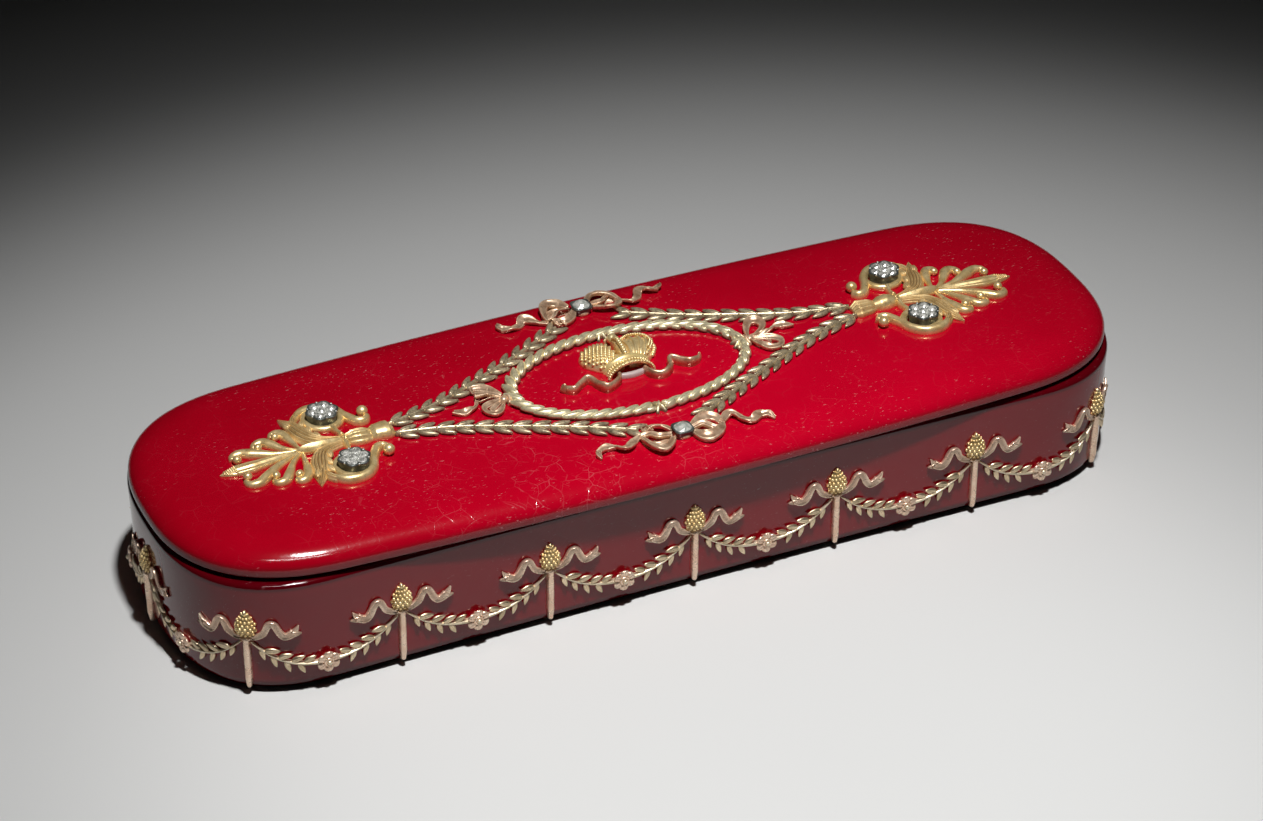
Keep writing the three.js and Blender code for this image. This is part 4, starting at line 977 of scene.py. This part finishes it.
def makeWreathBows():
    # The bows at the ends of the wreath. Right: two open loops and a tail. Left: two folded
    # fans and a tail.
    knot = [("agedRose", beads([(29, 0.2, 0.7)], 1, 0.9, 8, 16)),
        ("agedRose", carry([(28.3, -1.6), (27.9, 0), (28.3, 1.8)], 0.5, [1.2, 2, 1.2],
                archProfile(9, 0.8), count=14))]
    right = strands([
        ([(28.9, 0.6), (29.6, 3.4), (31.4, 6.1), (33.2, 6), (33.9, 4.2), (32.6, 2.4), (29.6, 0.8)],
            [0.4, 0.7, 0.8, 0.85, 0.6, 0.4], [0.4, 0.7, 0.9, 0.6, 0.3], [0.2, 0.5, 0.5, 0.1, 0.3], 0.55),
        ([(29, 0.2), (31.2, -0.8), (33.4, -1.5), (34.8, -3.2), (33.9, -4.9), (31.6, -4.8), (29.9, -2.6),
            (29, -0.4)], [0.35, 0.5, 0.6, 0.7, 0.7, 0.55, 0.35], [0.5, 0.8, 0.7, 0.6, 0.9, 0.5],
            [0.2, 0.4, 0.1, -0.3, 0.4], 0.55),
        ([(29.4, 0.3), (31.2, -0.6), (32.6, -2.2), (32.3, -3.4)], [0.3, 0.35, 0.3, 0.2], [0.5, 0.6, 0.3],
            0.1, 0.5),
        ([(29.6, 0.9), (33.6, 1.1), (35.6, 2.2), (37, 2.7), (38.6, 2), (40.3, 1.6)],
            [0.35, 0.5, 0.6, 0.75, 0.8, 0.35], [0.6, 0.3, 0.9, 0.4, 0.7, 0.3], [0, 0.4, -0.5, 0.4, -0.2],
            0.5)])
    makePiece("wreathBowRight", knot + right, "lid", ["wreath_bow_right"], onLid)
    left = strands([
        ([(29, 1.8), (31, 5), (33.6, 6.4), (34.3, 5.2)], [0.4, 0.6, 0.55, 0.4], [0.6, 0.9, 0.6],
            [0.2, 0.5, 0.4], 0.5),
        ([(29.2, 1.4), (31.6, 3), (34.2, 4)], [0.4, 1, 1.25], [0.7, 1, 0.7], [0.2, -0.4, -0.2], 0.6),
        ([(29.2, 1), (31.6, 1.5), (34, 1.5)], [0.4, 0.5, 0.6], [0.7, 0.7, 0.4], [-0.1, -0.5, -0.4], 0.5),
        ([(29.2, 0.4), (31.6, -0.2), (33.9, -1), (34, -2.8), (32.6, -4.1), (30.8, -3.2), (29.3, -0.6)],
            [0.35, 0.4, 0.55, 0.7, 0.7, 0.5, 0.3], [0.5, 0.7, 0.5, 0.6, 0.8, 0.4],
            [0.1, 0.4, 0.2, -0.2, 0.3], 0.5),
        ([(29.6, 0), (31.4, -1.3), (32.9, -2.4)], [0.3, 0.5, 0.55], [0.4, 0.5, 0.3], 0.2, 0.45),
        ([(34.2, 2.6), (35.4, 0.4), (36.9, -0.5), (38.6, -0.7), (40.4, 0.6)], [0.4, 0.45, 0.6, 0.8, 0.9],
            [0.2, 0.3, 0.7, 0.4, 0.2], [0.1, -0.3, 0.4, -0.3], 0.5)])
    makePiece("wreathBowLeft", knot + left, "lid", ["wreath_bow_left"],
        lambda points: onLid(points, -1, 1))


def makeBows():
    # The large bow of the front; the one of the back is its mirror image.
    fluted = flutedProfile(41, 4, 0.5)
    parts = [("agedRose", beads([(0.5, -26.6, 0.4)], 2.1, 0.5, 7, 20)),
        ("agedRose", carry([(-2, -27.4), (-5, -28.6), (-7.2, -27.6), (-8.2, -25.6)], [0.7, 1.9, 1.6, 0.4],
                [0.6, 0.7, 0.6, 0.4], fluted, count=40)),
        ("agedRose", carry([(2.6, -27.4), (4.9, -28.4), (7.1, -28.7), (8.9, -27.8)], [0.7, 1.5, 1.5, 0.5],
                [0.5, 0.6, 0.5, 0.4], fluted, count=40))]
    parts += strands([
        # left: upper fold, its pleats, the thick lower rim, the rim above it, the tail and its fork
        ([(-1.6, -25.8), (-2.9, -23.9), (-4.6, -22.9), (-6.2, -23.2), (-7.4, -24.4)],
            [0.6, 0.85, 0.8, 0.8, 0.5], [0.9, 1.1, 0.9, 0.6], [0.1, 0.5, 0.4, 0.2], 0.6),
        ([(-5.4, -24.1), (-5.6, -22.6), (-5.2, -21.7)], [0.4, 0.5, 0.35], [0.9, 1.2, 0.6], 0.2, 0.5),
        ([(-7, -24.6), (-7.1, -23.2), (-6.6, -22.2)], [0.4, 0.5, 0.35], [0.6, 1, 0.4], 0.2, 0.5),
        ([(-2.2, -27.9), (-3.6, -30), (-5.7, -31), (-7.4, -29.5), (-8.2, -26.6), (-8.1, -24.8)],
            [0.5, 0.9, 1.15, 0.95, 0.7, 0.5], [0.6, 0.9, 1.1, 0.8, 0.5], [0.1, 0.5, 0.3, 0.4, 0.1], 0.7),
        ([(-8.3, -24.9), (-6.6, -25.3), (-5, -26.9), (-2.2, -27.2)], [0.4, 0.5, 0.5, 0.4],
            [0.7, 1.2, 1.2, 0.9], 0.2, 0.5),
        ([(-8.2, -24.3), (-10.2, -25.6), (-12.4, -27.5), (-13.6, -27.2), (-14.6, -26), (-16.8, -25.5),
            (-18.7, -26.3)], [0.5, 0.7, 1.05, 1, 0.7, 0.75, 0.8], [0.4, 0.2, 0.7, 0.8, 0.3, 0.6, 0.4],
            [0.1, -0.3, 0.4, 0.5, -0.3, 0.3], 0.55),
        ([(-18.2, -26), (-19, -27.2), (-18.9, -28.6)], [0.6, 0.6, 0.15], [0.4, 0.7, 0.3], 0.2, 0.5),
        # right: lower rim, upper rim, upper loop, the tail and its fork
        ([(2.5, -27.9), (3.4, -29.8), (5, -30.7), (7, -30.2), (8.7, -28.8), (9.4, -27)],
            [0.5, 0.8, 1.1, 1, 0.8, 0.5], [0.6, 0.9, 1.1, 0.8, 0.5], [0.1, 0.5, 0.3, 0.3, 0.1], 0.7),
        ([(2.8, -26.6), (5.2, -26.4), (6.8, -28.2), (8.4, -29)], [0.4, 0.55, 0.5, 0.4],
            [0.9, 1.3, 1.1, 0.7], 0.2, 0.5),
        ([(3, -25.8), (5.2, -24.6), (7.4, -24.2), (8.9, -25.2), (9.3, -27)], [0.6, 0.8, 1, 0.9, 0.6],
            [0.8, 1, 1.1, 0.8, 0.5], [0.2, 0.5, 0.4, 0.2], 0.6),
        ([(9.3, -27), (11, -25.3), (12.5, -24.7), (13.8, -26), (14.8, -28.1), (16, -28.6), (17.6, -27.7),
            (19.4, -27.2)], [0.5, 0.7, 0.75, 0.8, 1, 0.9, 0.9, 0.6], [0.4, 0.7, 0.9, 0.3, 0.6, 0.8, 0.4],
            [0.2, 0.5, -0.3, -0.4, 0.4, 0.2], 0.55),
        ([(18.4, -27.6), (19.8, -28), (20.7, -29.6)], [0.7, 0.7, 0.15], [0.5, 0.7, 0.2], 0.2, 0.5)])
    # a square with round corners: radius = (cos(angle) ** 4 + sin(angle) ** 4) ** -0.25
    square = lambda angle, step: (np.cos(angle) ** 4 + np.sin(angle) ** 4) ** -0.25 + 0 * step
    collet = turned([(1.75, -0.05), (1.8, 0.6), (2.05, 1.5), (2.2, 1.9), (2, 2.05), (1.7, 1.9), (0.3, 1.8)],
        48, (0, 0), square)
    jewel = roseCut([(0, 0)], 1.95, 1.1, 1.85)
    for row, turnY in (("Front", 1), ("Back", -1)):
        makePiece(f"bow{row}", parts, "lid", [f"bow_{row.lower()}"],
            lambda points: onLid(points, 1, turnY))
        place = lambda points: onLid(points, 1, turnY, (0.5, -26.6 * turnY))
        makePiece(f"bowCollet{row}", [("oldSilver", collet)], "lid",
            [f"bow_collet_{row.lower()}"], place)
        makePiece(f"bowStone{row}", [("singleStone", jewel)], "lid", [f"bow_stone_{row.lower()}"],
            place, False)


crown = {
    "dome": [(0.5, 1.2), (3, 0.9), (4.9, 1.4), (6.9, 3.2), (8.5, 5.8), (8.3, 8.4), (6.4, 10.2), (3.4, 10.7),
        (0.9, 9.4), (0.4, 5)],
    "middle": (4.1, 5.6), "height": 3.5, "shift": 0.2,
}


def pillow(loop, middle, height, rows=14):
    # Rings shrinking to the middle: share of the outline = cos, height = sin of an even angle.
    turn = np.linspace(0, math.pi / 2, rows + 1)[:-1]
    flat = middle + (loop[None] - middle) * np.cos(turn)[:, None, None]
    level = np.broadcast_to((height * np.sin(turn) - 0.05)[:, None, None], flat.shape[:2] + (1,))
    return skin(np.concatenate([flat, level], -1), (*middle, -0.05), (*middle, height))


def vault(section, halfWidth, height, count=48):
    # A closed section (y, outwards) carried over an upright half ellipse from left to right.
    turn = np.linspace(-0.04, math.pi + 0.04, count)[:, None]
    y, out = np.asarray(section, float).T[:, None]
    x = -(halfWidth + out) * np.cos(turn)
    z = (height + out) * np.sin(turn)
    return ringed(np.stack(np.broadcast_arrays(x, y, z), -1))


def makeCrown():
    # Two pearled domes under an arch, a circlet across their foot, a ball and a bar on top.
    c = crown
    middle = np.array(c["middle"])
    loop = along(c["dome"] + c["dome"][:1], 97)[:-1]
    angles = np.arctan2(*(loop - middle).T[::-1])
    order = np.argsort(angles)
    reach = np.linalg.norm(loop - middle, axis=1)

    def share(points):
        away = points - middle
        edge = np.interp(np.arctan2(away[:, 1], away[:, 0]), angles[order], reach[order], period=tau)
        return np.linalg.norm(away, axis=1) / edge

    # pearls in a slanting lattice inside the outline of the left dome, ribs on the right one
    grid = np.stack(np.meshgrid(np.arange(-16, 17), np.arange(-24, 25)), -1).reshape(-1, 2)
    lattice = middle + grid @ np.array([[0.98, -0.12], [-0.25, 0.56]])
    inside = share(lattice)
    lattice, inside = lattice[inside < 0.97], inside[inside < 0.97]
    pearls = atLevel(lattice, c["height"] * np.sqrt(1 - inside ** 2))
    flip = np.array([-1, 1])
    parts = [("crownGold", pillow(loop * flip, middle * flip, c["height"])),
        ("crownGold", beads(pearls * np.array([-1, 1, 1]), 0.42, 0.9, 5, 9)),
        ("crownGold", pillow(loop, middle, c["height"]))]
    for first, last in (((1.6, 2), (1.9, 10.2)), ((2.6, 1.8), (3.8, 10.4)), ((3.5, 1.8), (5.8, 10.1)),
            ((4.3, 1.9), (7.3, 8.9)), ((5.1, 2.4), (8.2, 7.2))):
        bend = ((first[0] + last[0]) / 2 + 0.5, (first[1] + last[1]) / 2 - 0.3)
        line = along([first, bend, last], 22)
        level = c["height"] * np.sqrt(np.clip(1 - np.clip(share(line), 0, 1) ** 2, 0.002, 1))
        parts.append(
            ("crownGold", carry(atLevel(line, level), 0.36, 0.34, archProfile(9, 1, -0.8), count=22)))
    for inwards, size, count in ((1, 0.5, 17), (0.86, 0.36, 20), (0.74, 0.32, 22)):
        edge = middle + inwards * (along(c["dome"][3:9], count) - middle)
        level = 0.7 + c["height"] * math.sqrt(1 - inwards ** 2)
        parts.append(("crownGold", beads(atLevel(edge, level), size, 1, 5, 9)))
    section = [(-1.5, 0), (-1.5, 0.35), (-1.2, 0.55), (-0.85, 0.5), (-0.55, 0.1), (-0.4, -0.05),
        (0.75, -0.05), (0.9, 0.1), (1.2, 0.5), (1.6, 0.62), (2, 0.5), (2.3, 0.25), (2.3, -0.25), (1, -0.35),
        (-1.2, -0.3)]
    parts.append(("circletGold", vault(section, 4.9, 3.1)))
    turn = np.linspace(0.12, math.pi - 0.12, 21)
    for y, size, lift in ((-1.4, 0.34, 0), (0.18, 0.42, -0.28)):
        row = np.stack([-(5.3 + lift) * np.cos(turn), np.full(21, y), (3.5 + lift) * np.sin(turn)], -1)
        parts.append(("crownGold", beads(row, size, 1, 5, 9)))
    spine = along([(0.2, 2.6, 3.5), (0.4, 5.5, 3.9), (0.6, 8.2, 3.7), (0.8, 10, 2.7)], 10)
    parts += [
        ("dullGold", vault([(2, 0.05), (2.2, 0.05), (2.2, -2.8), (2, -2.8)], 4.8, 3, 30)),
        ("paleEnamel", carry([(-3.2, -1.3), (0, -1.7), (3.2, -1.3)], [0.5, 0.7, 0.5], 1.15,
                archProfile(11, 0.4), count=16)),
        ("crownGold", carry([(0.2, 2.2), (0.4, 5.5), (0.6, 8.4), (0.8, 10.4)], [1.15, 0.95, 0.8, 0.65],
                [3.3, 3.6, 3.4, 2.2], archProfile(17, 0.6), count=36)),
        ("crownGold", beads(spine, 0.55, 0.9, 6, 10)),
        ("crownGold", beads([(0.9, 11.3, 1.7)], 1.2, 1, 9, 18)),
        ("crownGold", carry([(-0.5, 12.3), (0.9, 12.9), (2.3, 12.3)], [0.3, 0.4, 0.3], [1.2, 1.5, 1.2],
                archProfile(9, 0.7), count=12))]
    makePiece("crown", parts, "lid", ["crown"],
        lambda points: onLid(points, 1, 1, (c["shift"], 0)))

    strips = [
        [(-15.4, -2), (-13.8, -2.9), (-11.9, -1.4), (-10, -0.4), (-9, -1.3), (-8.3, -3.6),
            (-7.2, -5.2), (-5.4, -4.6), (-3.6, -3.3), (-2.8, -1.6)],
        [(3.2, -1.4), (3.6, -3.4), (4.9, -4.7), (6.7, -4.8), (8.6, -3.1), (9.3, -0.8),
            (10.5, -0.9), (12, -2.4), (13.5, -3.2), (15.4, -2.6)]]
    stand = [("bronze", carry(line, [0.5, 0.56, 0.5], [1.9, 2.2, 2, 2.4, 2, 2.5, 2.2, 2.3, 1.9],
            archProfile(9, 0.35, 0), count=80)) for line in strips]
    stand += [("bronze", leaves((x, y, 0), turn, 1.7, 0.8, 2.3, rise=0.4, rows=6, fold=0, blunt=0.4))
        for x, y, turn in ((-15.2, -2.1, 2.5), (15.2, -2.6, 0.7))]
    makePiece("crownRibbon", stand, "lid", ["crown_ribbon"], onLid)


makeAnthemions()
makeClusters()
makeGarlands()
makeWreath()
makeWreathBows()
makeBows()
makeCrown()
print("lid mounts made")


# floor, lamps, camera

floorLook = {
    # the middle of the pool of light, and the floor's tone by the distance from it in metres, which paints
    # the pool and its falloff behind the object
    "pool": (0.001, -0.0955), "reach": 0.42, "bounce": 0.34, "half": 1.6, "level": -0.0001,
    "paintedLightStops": [(0, 0.785), (0.1, 0.81), (0.155, 0.73), (0.2, 0.86), (0.235, 0.945), (0.27, 0.82),
        (0.303, 0.38), (0.33, 0.26), (0.36, 0.25), (0.42, 0.27)],
}


def makeFloor():
    # One flat sheet, pale around the object and fading behind it. Light that the floor throws
    # back is kept low, so that the walls stay deep.
    f = floorLook
    paint = Finish("floorPaper", **{"Roughness": 0.6, "IOR": 1.45, "Specular IOR Level": 0})
    # painted pool of light: the colour falls off with the distance from the pool's middle
    away = paint.node("ShaderNodeVectorMath", {0: paint.where, 1: (*f["pool"], 0)}, operation="DISTANCE")
    share = paint.remap(away.outputs["Value"], 0, f["reach"])
    tones = paint.node("ShaderNodeValToRGB", {"Fac": share})
    ramp = tones.color_ramp
    ramp.interpolation = "B_SPLINE"
    for distance, _ in f["paintedLightStops"][1:-1]:
        ramp.elements.new(distance / f["reach"])
    for element, (_, level) in zip(ramp.elements, f["paintedLightStops"]):
        element.color = (level, level, level * 0.985, 1)
    path = paint.node("ShaderNodeLightPath").outputs
    seen = paint.most(paint.most(path["Is Camera Ray"], path["Is Glossy Ray"]), path["Is Transmission Ray"])
    level = paint.remap(seen, 0, 1, f["bounce"])
    colour = paint.node("ShaderNodeVectorMath", {0: tones.outputs[0], "Scale": level}, operation="SCALE")
    paint.fill(paint.inputs, {"Base Color": colour.outputs[0]})
    mesh = bpy.data.meshes.new("floor")
    corner = [(x * f["half"], y * f["half"], f["level"]) for x, y in ((-1, -1), (1, -1), (1, 1), (-1, 1))]
    mesh.from_pydata(corner, [], [(0, 1, 2, 3)])
    mesh.materials.append(paint.material)
    floor = bpy.data.objects.new("floor", mesh)
    bpy.context.scene.collection.objects.link(floor)


def addLamp(name, kind, place, target, power, **settings):
    # A lamp at a place, aimed at the target.
    light = bpy.data.lights.new(name, kind)
    light.energy = power
    for key, value in settings.items():
        setattr(light, key, value)
    lamp = bpy.data.objects.new(name, light)
    lamp.location = place
    lamp.rotation_euler = (Vector(place) - Vector(target)).to_track_quat("Z", "Y").to_euler()
    bpy.context.scene.collection.objects.link(lamp)
    return lamp


cameraLook = {
    "lens": 116.08, "sensorWidth": 36, "nearest": 0.01, "furthest": 10,
    # the directions of its right, its top and its back, and its place in metres
    "axes": [(0.91178997, -0.41064358, -0.0033014), (0.22942036, 0.50270258, 0.83346051),
        (-0.34059559, -0.76069834, 0.55256917), (-0.299751, -0.670964, 0.511661)],
}


def makeCamera():
    # The columns of its matrix are its three directions and its place.
    view = bpy.data.cameras.new("camera")
    view.lens = cameraLook["lens"]
    view.sensor_width = cameraLook["sensorWidth"]
    view.sensor_fit = "HORIZONTAL"
    view.clip_start, view.clip_end = cameraLook["nearest"], cameraLook["furthest"]
    camera = bpy.data.objects.new("camera", view)
    rows = [[axis[i] for axis in cameraLook["axes"]] for i in range(3)]
    camera.matrix_world = Matrix(rows + [[0, 0, 0, 1]])
    bpy.context.scene.collection.objects.link(camera)
    bpy.context.scene.camera = camera


lampLook = {
    # place and aim in metres. Three round lamps of growing width in one place make a pool of
    # light with a soft edge: name, power, width of the cone in degrees.
    "place": (-0.02, -0.31, 1.12), "aim": (-0.015, -0.1035, 0), "softness": 0.038,
    "cones": [("keyLamp", 9, 18), ("poolLamp", 22, 26), ("washLamp", 20, 38)],
    "worldStrength": 0.004,
}
makeFloor()
for name, power, cone in lampLook["cones"]:
    addLamp(name, "SPOT", lampLook["place"], lampLook["aim"], power, spot_size=math.radians(cone),
        spot_blend=1, shadow_soft_size=lampLook["softness"])
# two more that show only as reflections: sparkle on the fittings, a streak along the lid's edge
glintLamp = addLamp("glintLamp", "AREA", (-0.02, -0.33, 1.13), (0, 0, 0), 5.5, shape="DISK", size=0.2)
streakLamp = addLamp("streakLamp", "AREA", (-0.17, -0.5, 1), (0, 0, 0), 2.2, shape="RECTANGLE", size=0.5,
    size_y=0.06)
glintLamp.visible_diffuse = streakLamp.visible_diffuse = False
world = bpy.data.worlds.new("world")
world.use_nodes = True
sky = world.node_tree.nodes["Background"].inputs
sky["Color"].default_value = (1, 1, 1, 1)
sky["Strength"].default_value = lampLook["worldStrength"]
bpy.context.scene.world = world
makeCamera()
bpy.context.scene.view_settings.view_transform = "Standard"
